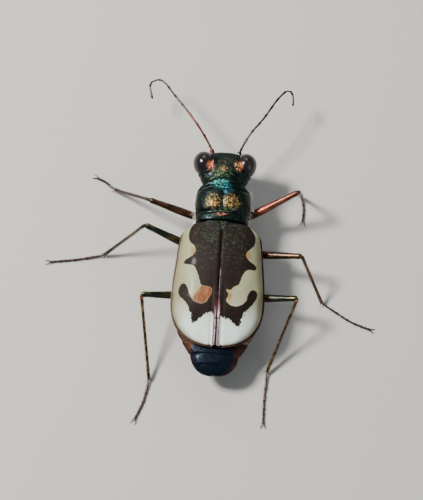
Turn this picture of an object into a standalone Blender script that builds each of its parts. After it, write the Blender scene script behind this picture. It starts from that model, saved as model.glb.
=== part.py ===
# A sand tiger beetle at rest, life size, standing on its six feet.
# The head points to -Y, the beetle's left side is +X and the floor is at height 0.
# Lengths are written in millimetres and turned into metres when a shape is finished.

import bpy
import bmesh
import math
from mathutils import Matrix, Vector

MILLIMETRE = 0.001
GAP = 0.2                   # clear space between neighbouring parts
WELD = 0.00001

# Driving dimensions of the body
ELYTRA_LENGTH = 9.4         # from the base, at y = 0, to the apex
ELYTRA_HALF_WIDTH = 3.55
ELYTRA_TOP = 5.2
ELYTRA_APEX_TOP = 3.45
ELYTRON_MARGIN = 3.3        # height of the side edge at the base
ELYTRON_MARGIN_DROP = 0.15
ELYTRON_THICKNESS = 0.5
ELYTRA_ROUNDNESS = 2.4
ELYTRA_RING_SHARES = (0, 0.015, 0.04, 0.08, 0.13, 0.25, 0.37, 0.5, 0.6, 0.7, 0.78, 0.85, 0.9, 0.94,
                      0.97, 0.993)
ELYTRON_RING_STEPS = 10

# The scutellum is a small triangle between the bases of the elytra
SCUTELLUM_HALF_WIDTH = 0.55
SCUTELLUM_LENGTH = 0.85
SCUTELLUM_TOP = 5.05
SCUTELLUM_BOTTOM = 4.45
SCUTELLUM_TIP = 0.08        # half width of its blunt rear end

# Stations are (y, half width, top, height of the widest line, bottom)
PROTHORAX_STATIONS = (
    (-3.20, 1.50, 4.62, 3.75, 2.85),
    (-3.08, 1.68, 4.74, 3.73, 2.70),
    (-2.92, 1.88, 4.79, 3.70, 2.60),
    (-2.62, 2.02, 4.81, 3.68, 2.50),
    (-2.15, 2.09, 4.92, 3.65, 2.35),
    (-1.55, 2.10, 4.95, 3.62, 2.25),
    (-0.95, 2.04, 4.90, 3.60, 2.20),
    (-0.50, 1.98, 4.84, 3.60, 2.25),
    (-0.20, 1.92, 4.72, 3.60, 2.40),
)
PROTHORAX_RINGS = 20
PRONOTUM_BOW = 0.5          # how far the front margin arches forwards in the middle
FRONT_FURROW = -2.62
REAR_FURROW = -0.82
FURROW_DEPTH = 0.13
FURROW_WIDTH = 0.2
MEDIAN_DEPTH = 0.07
MEDIAN_WIDTH = 0.12

HEAD_STATIONS = (
    (-2.90, 1.38, 4.45, 3.70, 2.95),
    (-3.35, 1.66, 4.60, 3.66, 2.55),
    (-3.80, 1.86, 4.69, 3.63, 2.32),
    (-4.25, 1.96, 4.72, 3.60, 2.15),
    (-4.90, 1.78, 4.68, 3.55, 1.98),
    (-5.40, 1.50, 4.54, 3.50, 2.05),
    (-5.72, 1.28, 4.32, 3.40, 2.25),
    (-5.88, 0.98, 4.00, 3.35, 2.60),
)
HEAD_RINGS = 15
CLYPEUS_CENTRE = (0.0, -5.62, 2.66)
CLYPEUS_RADII = (0.95, 0.36, 0.36)
BROW_RIDGE = ((0.95, -5.58, 4.26), (0.82, -5.2, 4.5), (0.82, -4.8, 4.62), (1.0, -4.42, 4.62),
              (1.32, -4.08, 4.5))
BROW_RADIUS = 0.12
BROW_SIZES = (0.6, 0.9, 1, 1, 1, 1, 0.9, 0.6)
EYE_CENTRE = (1.60, -4.92, 3.78)
EYE_RADII = (0.76, 0.88, 0.95)

# The labrum is a broad plate that hangs from the face, with three teeth on its free edge
LABRUM_TOP = 2.35
LABRUM_BOTTOM = 1.5
LABRUM_FRONT = -5.95
LABRUM_BACK = -5.45
LABRUM_HALF_WIDTH = 0.95
LABRUM_BOW = 0.25
LABRUM_LEAN = 0.3           # how much higher its rear edge hangs
LABRUM_EDGE = (             # share of the half width, share of the height
    (-1.0, 0.35), (-0.62, 0.12), (-0.5, -0.05), (-0.38, 0.1), (-0.12, 0.05), (0.0, -0.12),
    (0.12, 0.05), (0.38, 0.1), (0.5, -0.05), (0.62, 0.12), (1.0, 0.35),
)

# Each mandible is a sickle that curves in below the face; its end passes the other one's at its own depth
MANDIBLE_ROUTE = ((1.0, -4.93, 2.25), (1.22, -4.93, 1.75), (1.12, -4.95, 1.25), (0.6, -4.93, 0.8),
                  (-0.1, -4.93, 0.55))
MANDIBLE_SIZES = (0.3, 0.28, 0.25, 0.17, 0.05)
MANDIBLE_OFFSET = 0.15      # the left end lies this far in front of the middle and the right one behind
MANDIBLE_RINGS = 10
UPPER_TOOTH = ((1.0, -4.95, 1.3), (0.5, -4.95, 1.35))
LOWER_TOOTH = ((0.75, -4.93, 0.95), (0.38, -4.93, 1.1))
TOOTH_SIZES = (0.16, 0.03)

# Palps, with the radius at each ring as a share of the thinnest limb's
MAXILLARY_PALP = ((0.95, -4.1, 2.2), (1.25, -4.1, 1.6), (1.38, -4.2, 1.1), (1.2, -4.4, 0.65))
MAXILLARY_SIZES = (1, 1.1, 0.9, 1.1, 0.9, 1.1, 0.7)
LABIAL_PALP = ((0.38, -3.85, 2.25), (0.42, -3.9, 1.7), (0.5, -4.1, 1.2), (0.45, -4.35, 0.8))
LABIAL_SIZES = (1, 1.1, 0.9, 1.1, 1.0, 0.7)

SHELF_INSET = 0.25          # side of the belly, in from the edge of the elytra
SHELF_SPREAD = 0.6          # how far it spreads again where it comes out behind them
SPREAD_START = 0.78         # share of the elytra's length where it begins to spread
SPREAD_LENGTH = 0.17
BELLY_HEIGHT = 1.7
BELLY_RISE = 0.1            # towards the rear
BELLY_ROUNDNESS = 1.9
WAIST_HEIGHT = 2.3
WAIST_LENGTH = 1.6
WAIST_NARROWING = 0.3
TRUNK_RING_STEPS = 7
THORAX_SPAN = (0.0, 4.9)
ABDOMEN_SPAN = (5.1, 8.75)
THORAX_SEAM = 2.4           # between the middle and the hind ring of the thorax
STERNITE_COUNT = 4
STERNITE_STEP = 0.09        # each plate of the belly swells by this much to its rear edge
RING_PLACES = (0.02, 0.35, 0.7, 0.98)

# Stations of the abdomen's end, which reaches out behind the elytra
ABDOMEN_TIP_STATIONS = (
    (8.95, 2.50, 2.88, 2.35, 1.70),
    (9.35, 2.17, 2.86, 2.30, 1.66),
    (10.00, 1.68, 2.80, 2.25, 1.66),
    (10.60, 1.40, 2.68, 2.20, 1.70),
    (11.05, 1.12, 2.52, 2.15, 1.80),
    (11.35, 0.58, 2.32, 2.12, 1.94),
)
TIP_SEGMENTS = 3
TIP_STEP = 0.07

LIMB_RADIUS = 0.25          # thinnest limb of the solid model
LIMB_END = 0.3              # length of a limb's rounded end, as a share of its radius
LIMB_END_SIZE = 0.6
FEMUR_RADIUS = 0.33
FEMUR_PLACES = (0.0, 0.1, 0.15, 0.35, 0.6, 0.85, 1.0)
FEMUR_SIZES = (0.8, 0.88, 0.72, 1.0, 0.95, 0.8, 0.8)    # the trochanter is the swelling at the base
TIBIA_PLACES = (0.0, 0.08, 0.5, 0.9, 1.0)
TIBIA_SIZES = (1.1, 1.0, 1.0, 1.0, 1.1)
SPUR_ROOT = 0.3             # from the ankle, back along the tibia
SPUR_SPREAD = (0.12, 0.62)  # sideways, at the root and at the tip
SPUR_LIFT = 0.05
SPUR_SIZES = (0.1, 0.03)
COXA_SETBACK = 0.4          # coxa's centre, in from the hip joint
COXA_RADII = {"front": (0.55, 0.6, 0.62), "mid": (0.6, 0.52, 0.5), "hind": (0.85, 0.45, 0.42)}

# Joints of each leg: hip, knee, ankle, bend of the tarsus and toe
LEGS = {
    "front_left": ((1.3, -1.0, 1.95), (5.6, -1.85, 3.6), (8.4, -3.65, 0.42),
                   (9.2, -4.3, 0.2), (9.85, -4.6, 0.2)),
    "front_right": ((-1.3, -1.0, 1.95), (-5.7, -2.9, 4.3), (-6.1, -3.9, 0.42),
                    (-6.3, -2.9, 0.2), (-6.25, -2.0, 0.2)),
    "mid_left": ((1.4, 1.5, 1.75), (5.8, 0.25, 3.8), (8.9, 1.7, 0.42),
                 (11.0, 2.15, 0.2), (13.0, 2.45, 0.2)),
    "mid_right": ((-1.4, 1.5, 1.75), (-6.2, 2.05, 3.8), (-8.0, 4.6, 0.42),
                  (-10.35, 5.95, 0.2), (-11.8, 6.45, 0.2)),
    "hind_left": ((1.45, 5.0, 1.7), (5.75, 5.75, 3.8), (4.85, 11.4, 0.42),
                  (5.2, 13.15, 0.2), (5.75, 14.5, 0.2)),
    "hind_right": ((-1.45, 5.0, 1.7), (-6.0, 5.4, 3.8), (-4.05, 10.3, 0.42),
                   (-3.95, 12.5, 0.2), (-3.95, 14.3, 0.2)),
}

# Each tarsus has five segments that widen to their far ends, and two claws
TARSUS_START = 0.02
TARSUS_ENDS = (0.0, 0.36, 0.57, 0.73, 0.84, 1.0)
TARSUS_RINGS = ((0.15, 0.8), (0.85, 1.0))               # place in a segment, and size there
TARSUS_TAPER = 0.25
ANKLE_ROOM = 0.6            # share of the first stretch that is kept clear of the tibia
CLAW_PLACES = (-0.15, 0.2, 0.45)                        # forward of the toe
CLAW_SPREAD = (0.0, 0.17, 0.3)
CLAW_DROP = 0.1
CLAW_SIZES = (0.1, 0.08, 0.03)

# Route of each antenna from its socket to its tip
ANTENNAE = {
    "left": ((0.95, -5.5, 3.05), (1.1, -6.3, 3.35), (1.98, -7.65, 3.8), (3.0, -9.0, 3.9),
             (4.2, -10.5, 3.65), (5.2, -11.75, 3.3), (6.1, -11.6, 3.0), (5.9, -10.4, 2.8)),
    "right": ((-0.95, -5.5, 3.05), (-1.15, -6.35, 3.35), (-1.8, -7.55, 3.8), (-2.8, -8.9, 3.9),
              (-3.8, -10.6, 3.7), (-4.55, -11.5, 3.3), (-4.95, -11.2, 3.1), (-5.0, -10.4, 2.95)),
}
ANTENNA_SEGMENTS = 11
SCAPE_SHARE = 0.09
SCAPE_SIZE = 1.15
PEDICEL_SHARE = 0.035
SEGMENT_RINGS = ((0.12, 0.8), (0.85, 1.08))             # place in a segment, and size there
ANTENNA_TAPER = 0.35
ROUTE_STEPS = 60
SOCKET_RINGS = 3            # rings of the antenna that its socket is cut for
SHARP_ANGLE = 40            # degrees


def clear_scene():
    for item in list(bpy.data.objects):
        bpy.data.objects.remove(item, do_unlink=True)


def new_collection(name):
    collection = bpy.data.collections.new(name)
    bpy.context.scene.collection.children.link(collection)
    return collection


def make_material(name, colour, roughness, metallic):
    material = bpy.data.materials.new(name)
    material.use_nodes = True
    shader = material.node_tree.nodes["Principled BSDF"]
    shader.inputs["Base Color"].default_value = (*colour, 1.0)
    shader.inputs["Roughness"].default_value = roughness
    shader.inputs["Metallic"].default_value = metallic
    return material


def spline_at(points, share):
    # The place at a share of a smooth curve through points of any dimension
    last = len(points) - 1
    place = last * share
    index = min(int(place), last - 1)
    t = place - index
    before = points[max(index - 1, 0)]
    start = points[index]
    end = points[index + 1]
    after = points[min(index + 2, last)]
    sample = []
    for a, b, c, d in zip(before, start, end, after):
        curve = 2 * b + (c - a) * t + (2 * a - 5 * b + 4 * c - d) * t ** 2
        sample.append(0.5 * (curve + (3 * b - a - 3 * c + d) * t ** 3))
    return tuple(sample)


def spline(points, count):
    return [spline_at(points, step / (count - 1)) for step in range(count)]


def add_object(name, mesh):
    item = bpy.data.objects.new(name, mesh)
    bpy.context.scene.collection.objects.link(item)
    return item


def loft(name, rings, open_side=False):
    # Rings of equal length joined in order, with triangles split alike everywhere.
    # A ring that folds back on itself is capped across its two halves.
    shape = bmesh.new()
    rows = [[shape.verts.new(point) for point in ring] for ring in rings]
    count = len(rows[0])
    for first, second in zip(rows, rows[1:]):
        for i in range(count):
            j = (i + 1) % count
            shape.faces.new((first[i], first[j], second[j]))
            shape.faces.new((first[i], second[j], second[i]))
    for row in (rows[0], rows[-1]):
        if open_side:
            for i in range(count // 2 - 1):
                k = count - 1 - i
                shape.faces.new((row[i], row[i + 1], row[k]))
                shape.faces.new((row[i + 1], row[k - 1], row[k]))
        else:
            middle = sum((v.co for v in row), Vector()) / count
            centre = shape.verts.new(middle)
            for i in range(count):
                shape.faces.new((row[i], row[(i + 1) % count], centre))
    bmesh.ops.recalc_face_normals(shape, faces=shape.faces)
    mesh = bpy.data.meshes.new(name)
    shape.to_mesh(mesh)
    shape.free()
    return add_object(name, mesh)


def ellipsoid(name, centre, radii, segments=16, rings=10, grow=0.0):
    shape = bmesh.new()
    bmesh.ops.create_uvsphere(shape, u_segments=segments, v_segments=rings, radius=1.0)
    size = Matrix.Diagonal(Vector([r + grow for r in radii])).to_4x4()
    shape.transform(Matrix.Translation(centre) @ size)
    mesh = bpy.data.meshes.new(name)
    shape.to_mesh(mesh)
    shape.free()
    return add_object(name, mesh)


def tube(name, points, radii):
    curve = bpy.data.curves.new(name + "_wire", "CURVE")
    curve.dimensions = "3D"
    curve.bevel_depth = 1.0
    curve.bevel_resolution = 2
    curve.use_fill_caps = True
    line = curve.splines.new("POLY")
    line.points.add(len(points) - 1)
    for knot, point, radius in zip(line.points, points, radii):
        knot.co = (*point, 1.0)
        knot.radius = radius
    wire = add_object(name + "_wire", curve)
    depsgraph = bpy.context.evaluated_depsgraph_get()
    mesh = bpy.data.meshes.new_from_object(wire.evaluated_get(depsgraph))
    shape = bmesh.new()
    shape.from_mesh(mesh)
    bmesh.ops.remove_doubles(shape, verts=shape.verts, dist=WELD)
    bmesh.ops.recalc_face_normals(shape, faces=shape.faces)
    shape.to_mesh(mesh)
    shape.free()
    solid = add_object(name, mesh)
    solid.matrix_world = wire.matrix_world
    bpy.data.objects.remove(wire)
    bpy.data.curves.remove(curve)
    return solid


def limb(name, points, radii, grow=0.0):
    # A tube with rounded ends; grow makes the same limb fatter and longer all round
    points = [Vector(point) for point in points]
    radii = [radius + grow for radius in radii]
    start = (points[0] - points[1]).normalized()
    end = (points[-1] - points[-2]).normalized()
    points[0] += start * grow
    points[-1] += end * grow
    head = [points[0], points[0] - start * LIMB_END * radii[0]]
    tail = [points[-1] - end * LIMB_END * radii[-1], points[-1]]
    route = head + points[1:-1] + tail
    sizes = [LIMB_END_SIZE * radii[0]] + radii + [LIMB_END_SIZE * radii[-1]]
    return tube(name, route, sizes)


def apply_modifiers(item):
    depsgraph = bpy.context.evaluated_depsgraph_get()
    mesh = bpy.data.meshes.new_from_object(item.evaluated_get(depsgraph))
    old = item.data
    item.modifiers.clear()
    item.data = mesh
    bpy.data.meshes.remove(old)


def keep_largest(item):
    shape = bmesh.new()
    shape.from_mesh(item.data)
    bmesh.ops.remove_doubles(shape, verts=shape.verts, dist=WELD)
    unseen = set(shape.faces)
    islands = []
    while unseen:
        island = [unseen.pop()]
        for face in island:
            for edge in face.edges:
                for near in edge.link_faces:
                    if near in unseen:
                        unseen.remove(near)
                        island.append(near)
        islands.append(island)
    islands.sort(key=lambda island: sum(face.calc_area() for face in island))
    scrap = [face for island in islands[:-1] for face in island]
    bmesh.ops.delete(shape, geom=scrap, context="FACES")
    bmesh.ops.triangulate(shape, faces=shape.faces)
    shape.to_mesh(item.data)
    shape.free()


def combine(item, others, operation):
    if not others:
        return item
    group = new_collection("pieces")
    for other in others:
        group.objects.link(other)
    modifier = item.modifiers.new(operation.lower(), "BOOLEAN")
    modifier.operation = operation
    modifier.operand_type = "COLLECTION"
    modifier.collection = group
    modifier.solver = "EXACT"
    apply_modifiers(item)
    for other in others:
        bpy.data.objects.remove(other)
    bpy.data.collections.remove(group)
    return item


def fuse(item, others):
    return combine(item, others, "UNION")


def cut(item, others):
    return combine(item, others, "DIFFERENCE")


def finish(item, material):
    keep_largest(item)
    item.data.transform(Matrix.Scale(MILLIMETRE, 4))
    item.data.materials.clear()
    item.data.materials.append(material)
    item.data.shade_smooth()
    item.data.set_sharp_from_angle(angle=math.radians(SHARP_ANGLE))
    return item


def mirrored(point, side):
    return (side * point[0], point[1], point[2])


def power(value, exponent):
    return math.copysign(abs(value) ** exponent, value)


def section(y, half_width, top, middle, bottom, count=24, roundness=2.2, bow=0.0, grow=0.0):
    # One closed ring of a barrel-shaped body; bow arches its upper half along the body
    ring = []
    for i in range(count):
        angle = 2 * math.pi * i / count
        across = power(math.sin(angle), 2 / roundness)
        up = power(math.cos(angle), 2 / roundness)
        height = top - middle if up > 0 else middle - bottom
        arch = bow * max(up, 0) * (1 - across ** 2)
        ring.append((across * (half_width + grow), y - arch, middle + up * (height + grow)))
    return ring


def elytra_half_width(share):
    # Shoulders rise quickly, the sides swell to the widest place and the end is rounded
    if share > 0.6:
        t = (share - 0.6) / 0.4
        return ELYTRA_HALF_WIDTH * (1 - t ** 2.6) ** 0.42
    swell = 0.104 * ((0.6 - share) / 0.436) ** 1.33
    shoulder = 0.17 * max(1 - share / 0.1, 0) ** 1.6
    return ELYTRA_HALF_WIDTH * (1 - swell - shoulder)


def elytra_top(share):
    if share < 0.35:
        return ELYTRA_TOP - 0.15 * ((0.35 - share) / 0.35) ** 2
    drop = ELYTRA_TOP - ELYTRA_APEX_TOP
    return ELYTRA_TOP - drop * ((share - 0.35) / 0.65) ** 3


def elytra_margin(share):
    return ELYTRON_MARGIN - ELYTRON_MARGIN_DROP * share


def elytron_ring(share, side):
    width = elytra_half_width(share) - GAP / 2
    margin = elytra_margin(share)
    height = elytra_top(share) - margin
    wall = min(ELYTRON_THICKNESS, 0.55 * width)
    roof = min(ELYTRON_THICKNESS, 0.6 * height)
    outer = []
    inner = []
    for i in range(ELYTRON_RING_STEPS + 1):
        angle = math.pi / 2 * i / ELYTRON_RING_STEPS
        across = math.sin(angle) ** (2 / ELYTRA_ROUNDNESS)
        up = max(math.cos(angle), 0) ** (2 / ELYTRA_ROUNDNESS)
        outer.append((side * (GAP / 2 + width * across), share * ELYTRA_LENGTH, margin + height * up))
        inside = margin + (height - roof) * up
        inner.append((side * (GAP / 2 + (width - wall) * across), share * ELYTRA_LENGTH, inside))
    return outer + inner[::-1]


def make_elytron(name, side, scutellum_cutter):
    item = loft(name, [elytron_ring(share, side) for share in ELYTRA_RING_SHARES], open_side=True)
    return cut(item, [scutellum_cutter])


def scutellum_block(name, grow=0.0):
    # The narrow end lies to the rear; a grown block cuts the room that the plate sits in
    wide = SCUTELLUM_HALF_WIDTH + 1.5 * grow
    narrow = SCUTELLUM_TIP + 0.6 * grow
    rear = SCUTELLUM_LENGTH + grow
    outline = [(-wide, -grow), (wide, -grow), (narrow, rear), (-narrow, rear)]
    heights = (SCUTELLUM_BOTTOM - grow, SCUTELLUM_TOP + grow)
    return loft(name, [[(x, y, z) for x, y in outline] for z in heights])


def trunk_ring(y, swell):
    # The back of the body fills the elytra from inside; the belly spreads below their edge
    share = max(y, 0.0) / ELYTRA_LENGTH
    outer = elytra_half_width(share)
    margin = elytra_margin(share)
    inner = max(outer - ELYTRON_THICKNESS - GAP, 0.3)
    crown = max(elytra_top(share) - ELYTRON_THICKNESS - GAP - margin, 0.05)
    waist = max(1 - y / WAIST_LENGTH, 0.0) ** 1.5
    spread = SHELF_SPREAD * max((share - SPREAD_START) / SPREAD_LENGTH, 0.0) ** 1.5
    belly_width = (outer - SHELF_INSET + spread) * (1 - WAIST_NARROWING * waist)
    shelf = margin - GAP
    bottom = BELLY_HEIGHT + (WAIST_HEIGHT - BELLY_HEIGHT) * waist + BELLY_RISE * share
    bottom -= STERNITE_STEP * swell
    ring = []
    for i in range(-TRUNK_RING_STEPS, TRUNK_RING_STEPS + 1):
        angle = math.pi / 2 * i / TRUNK_RING_STEPS
        across = power(math.sin(angle), 2 / ELYTRA_ROUNDNESS)
        up = max(math.cos(angle), 0) ** (2 / ELYTRA_ROUNDNESS)
        ring.append((inner * across, y, margin + crown * up))
    for i in range(TRUNK_RING_STEPS + 1):
        angle = math.pi * i / TRUNK_RING_STEPS
        across = power(math.cos(angle), 2 / BELLY_ROUNDNESS)
        down = max(math.sin(angle), 0) ** (2 / BELLY_ROUNDNESS)
        ring.append((belly_width * across, y, shelf - (shelf - bottom) * down))
    return ring


def make_trunk(name, seams, cutters):
    # Four rings to each belly plate, the outer two close to its seams
    rings = []
    for start, end in zip(seams, seams[1:]):
        rings += [trunk_ring(start + (end - start) * place, place) for place in RING_PLACES]
    return cut(loft(name, rings), cutters)


def abdomen_seams():
    start, end = ABDOMEN_SPAN
    return [start + (end - start) * i / STERNITE_COUNT for i in range(STERNITE_COUNT + 1)]


def make_abdomen_tip(name):
    # Rings that slide into one another like a telescope
    rings = []
    for i in range(TIP_SEGMENTS):
        for place in RING_PLACES:
            station = spline_at(ABDOMEN_TIP_STATIONS, (i + place) / TIP_SEGMENTS)
            rings.append(section(*station, grow=TIP_STEP * place))
    return loft(name, rings)


def prothorax_rings(grow=0.0):
    rings = []
    for y, half_width, top, middle, bottom in spline(PROTHORAX_STATIONS, PROTHORAX_RINGS):
        share = (y - PROTHORAX_STATIONS[-1][0]) / (PROTHORAX_STATIONS[0][0] - PROTHORAX_STATIONS[-1][0])
        bow = PRONOTUM_BOW * max(share, 0.0) ** 1.5
        ring = section(y, half_width, top, middle, bottom, bow=bow, grow=grow)
        rings.append([pronotum_relief(point, y, middle) for point in ring])
    return rings


def pronotum_relief(point, station, middle):
    # Two cross furrows and a line along the middle sink into the upper surface
    x, y, z = point
    upper = max((z - middle) / 1.2, 0.0)
    furrows = 0.0
    for place in (FRONT_FURROW, REAR_FURROW):
        furrows += math.exp(-((station - place) / FURROW_WIDTH) ** 2)
    line = MEDIAN_DEPTH * math.exp(-(x / MEDIAN_WIDTH) ** 2)
    inside = 1.0 if FRONT_FURROW < station < REAR_FURROW else 0.0
    return (x, y, z - min(upper, 1.0) * (FURROW_DEPTH * furrows + line * inside))


def make_prothorax(name, cutters):
    return cut(loft(name, prothorax_rings()), cutters)


def make_head(name, cutters):
    # The capsule with a face plate over the lip and a ridge along the inner side of each eye
    rings = [section(*station, count=26, roundness=2.3) for station in spline(HEAD_STATIONS, HEAD_RINGS)]
    pieces = [ellipsoid("clypeus", CLYPEUS_CENTRE, CLYPEUS_RADII, 14, 8)]
    for side in (1, -1):
        route = [mirrored(point, side) for point in spline(BROW_RIDGE, len(BROW_SIZES))]
        pieces.append(limb("brow", route, [BROW_RADIUS * size for size in BROW_SIZES]))
    return cut(fuse(loft(name, rings), pieces), cutters)


def neck_cutter():
    rings = prothorax_rings(grow=GAP)
    front = [(x, y - GAP, z) for x, y, z in rings[0]]
    return loft("neck_cutter", [front] + rings)


def labrum_block(name, grow=0.0):
    top = LABRUM_TOP + grow
    bottom = LABRUM_BOTTOM - grow
    half_width = LABRUM_HALF_WIDTH + grow
    rings = []
    for y, foot in ((LABRUM_FRONT - grow, bottom), (LABRUM_BACK + grow, bottom + LABRUM_LEAN)):
        lower = []
        for x, lift in LABRUM_EDGE:
            lower.append((x * half_width, y + LABRUM_BOW * x * x, foot + lift * (top - foot)))
        upper = [(x, y, top) for x, y, z in reversed(lower)]
        rings.append(lower + upper)
    return loft(name, rings, open_side=True)


def mandible_bend(point, side):
    # Moves a point of the left mandible to its side and, near its end, to its own depth
    x, y, z = point
    low = min(max((MANDIBLE_ROUTE[2][2] - z) / (MANDIBLE_ROUTE[2][2] - MANDIBLE_ROUTE[3][2]), 0), 1)
    return (side * x, y - side * MANDIBLE_OFFSET * low, z)


def mandible(name, side, grow=0.0):
    points = [mandible_bend(point, side) for point in spline(MANDIBLE_ROUTE, MANDIBLE_RINGS)]
    radii = [size for (size,) in spline([(size,) for size in MANDIBLE_SIZES], MANDIBLE_RINGS)]
    blade = limb(name, points, radii, grow)
    if grow:
        return blade
    teeth = [tube(name, [mandible_bend(point, side) for point in tooth], TOOTH_SIZES)
             for tooth in (UPPER_TOOTH, LOWER_TOOTH)]
    return fuse(blade, teeth)


def palp(name, route, sizes, side, grow=0.0):
    points = [mirrored(point, side) for point in spline(route, len(sizes))]
    return limb(name, points, [LIMB_RADIUS * size for size in sizes], grow)


def maxillary_palp(name, side, grow=0.0):
    return palp(name, MAXILLARY_PALP, MAXILLARY_SIZES, side, grow)


def labial_palp(name, side, grow=0.0):
    return palp(name, LABIAL_PALP, LABIAL_SIZES, side, grow)


def segment_ends():
    # Shares of the antenna's length where a thick first segment, a short second and nine long ones end
    ends = [0.0, SCAPE_SHARE, SCAPE_SHARE + PEDICEL_SHARE]
    long_segment = (1 - ends[-1]) / (ANTENNA_SEGMENTS - 2)
    while len(ends) <= ANTENNA_SEGMENTS:
        ends.append(ends[-1] + long_segment)
    return ends


def antenna(name, side, grow=0.0):
    route = spline(ANTENNAE[side], ROUTE_STEPS)
    ends = segment_ends()
    points = []
    radii = []
    for i, (start, end) in enumerate(zip(ends, ends[1:])):
        taper = 1.0 - ANTENNA_TAPER * (i / ANTENNA_SEGMENTS) ** 2
        for place, size in SEGMENT_RINGS:
            step = round((start + (end - start) * place) * (ROUTE_STEPS - 1))
            points.append(route[min(step, ROUTE_STEPS - 1)])
            radii.append(LIMB_RADIUS * taper * size * (SCAPE_SIZE if i == 0 else 1.0))
    if grow:
        points = points[:SOCKET_RINGS]
        radii = radii[:SOCKET_RINGS]
    return limb(name, points, radii, grow)


def coxa(name, leg, grow=0.0):
    hip = LEGS[leg][0]
    pair = leg.split("_")[0]
    inward = math.copysign(COXA_SETBACK, hip[0])
    radii = COXA_RADII[pair]
    return ellipsoid(name, (hip[0] - inward, hip[1], hip[2]), radii, 14, 8, grow)


def between(start, end, share):
    return Vector(start).lerp(Vector(end), share)


def femur_shaft(name, leg, grow=0.0):
    hip, knee = LEGS[leg][0], LEGS[leg][1]
    points = [between(hip, knee, place) for place in FEMUR_PLACES]
    return limb(name, points, [FEMUR_RADIUS * size for size in FEMUR_SIZES], grow)


def femur(name, leg):
    cutters = [coxa("coxa_cutter", leg, GAP), tibia_shaft("tibia_cutter", leg, GAP)]
    return cut(femur_shaft(name, leg), cutters)


def tibia_shaft(name, leg, grow=0.0):
    knee, ankle = LEGS[leg][1], LEGS[leg][2]
    points = [between(knee, ankle, place) for place in TIBIA_PLACES]
    return limb(name, points, [LIMB_RADIUS * size for size in TIBIA_SIZES], grow)


def tibia(name, leg):
    knee, ankle = Vector(LEGS[leg][1]), Vector(LEGS[leg][2])
    shaft = tibia_shaft(name, leg)
    along = (ankle - knee).normalized()
    across = along.cross(Vector((0, 0, 1))).normalized()
    spurs = []
    for side in (-1, 1):
        root = ankle - along * SPUR_ROOT + across * SPUR_SPREAD[0] * side
        tip = ankle + across * SPUR_SPREAD[1] * side + Vector((0, 0, SPUR_LIFT))
        spurs.append(tube(name, [root, tip], SPUR_SIZES))
    item = fuse(shaft, spurs)
    return cut(item, [tarsus_shaft("tarsus_cutter", leg, GAP)])


def tarsus_shaft(name, leg, grow=0.0):
    ankle, bend, toe = (Vector(point) for point in LEGS[leg][2:])
    first = between(ankle, bend, TARSUS_START)
    if grow:
        return limb(name, [first, between(ankle, bend, ANKLE_ROOM)], [LIMB_RADIUS, LIMB_RADIUS], grow)
    total = (bend - ankle).length + (toe - bend).length
    turn = (bend - ankle).length / total
    points = []
    radii = []
    for start, end in zip(TARSUS_ENDS, TARSUS_ENDS[1:]):
        for place, size in TARSUS_RINGS:
            share = start + (end - start) * place
            if share < turn:
                points.append(between(first, bend, share / turn))
            else:
                points.append(between(bend, toe, (share - turn) / (1 - turn)))
            radii.append(LIMB_RADIUS * size * (1 - TARSUS_TAPER * share))
    return limb(name, points, radii)


def tarsus(name, leg):
    bend, toe = (Vector(point) for point in LEGS[leg][3:])
    shaft = tarsus_shaft(name, leg)
    along = (toe - bend).normalized()
    across = Vector((-along.y, along.x, 0))
    claws = []
    for side in (-1, 1):
        route = []
        for place, spread in zip(CLAW_PLACES, CLAW_SPREAD):
            route.append(toe + along * place + across * spread * side)
        route[-1].z -= CLAW_DROP
        claws.append(tube(name, route, CLAW_SIZES))
    item = fuse(shaft, claws)
    return cut(item, [floor_block()])


def floor_block():
    # Everything below the floor, which trims the soles flat
    shape = bmesh.new()
    bmesh.ops.create_cube(shape, size=1.0)
    shape.transform(Matrix.Translation((0, 0, -1)) @ Matrix.Diagonal((60, 60, 2, 1)))
    mesh = bpy.data.meshes.new("floor_block")
    shape.to_mesh(mesh)
    shape.free()
    return add_object("floor_block", mesh)


def make_materials():
    return {
        "elytra": make_material("cream_elytra", (0.55, 0.45, 0.26), 0.45, 0.0),
        "copper": make_material("copper_cuticle", (0.13, 0.07, 0.045), 0.35, 0.7),
        "green": make_material("green_cuticle", (0.03, 0.06, 0.055), 0.35, 0.7),
        "belly": make_material("brown_belly", (0.12, 0.05, 0.02), 0.45, 0.1),
        "ivory": make_material("ivory_labrum", (0.62, 0.55, 0.4), 0.45, 0.0),
        "eye": make_material("dark_eye", (0.012, 0.007, 0.006), 0.12, 0.0),
        "limb": make_material("bronze_limb", (0.09, 0.045, 0.03), 0.35, 0.6),
        "feeler": make_material("purple_feeler", (0.06, 0.03, 0.035), 0.4, 0.4),
    }


def leg_sockets(pair):
    # Room in the underside for both coxae of a pair and for the femora that lie against it
    sockets = []
    for side in ("left", "right"):
        sockets.append(coxa("socket", pair + "_" + side, GAP))
        sockets.append(femur_shaft("socket", pair + "_" + side, GAP))
    return sockets


def make_body(materials):
    parts = [finish(make_prothorax("prothorax", leg_sockets("front")), materials["copper"])]
    pit = scutellum_block("pit", GAP)
    thorax_seams = (THORAX_SPAN[0], THORAX_SEAM, THORAX_SPAN[1])
    thorax = make_trunk("thorax", thorax_seams, leg_sockets("mid") + leg_sockets("hind") + [pit])
    parts.append(finish(thorax, materials["green"]))
    abdomen = make_trunk("abdomen", abdomen_seams(), leg_sockets("hind"))
    parts.append(finish(abdomen, materials["belly"]))
    parts.append(finish(make_abdomen_tip("abdomen_tip"), materials["green"]))
    parts.append(finish(scutellum_block("scutellum"), materials["copper"]))
    for name, side in (("left", 1), ("right", -1)):
        item = make_elytron("elytron_" + name, side, scutellum_block("notch", GAP))
        parts.append(finish(item, materials["elytra"]))
    return parts


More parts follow.
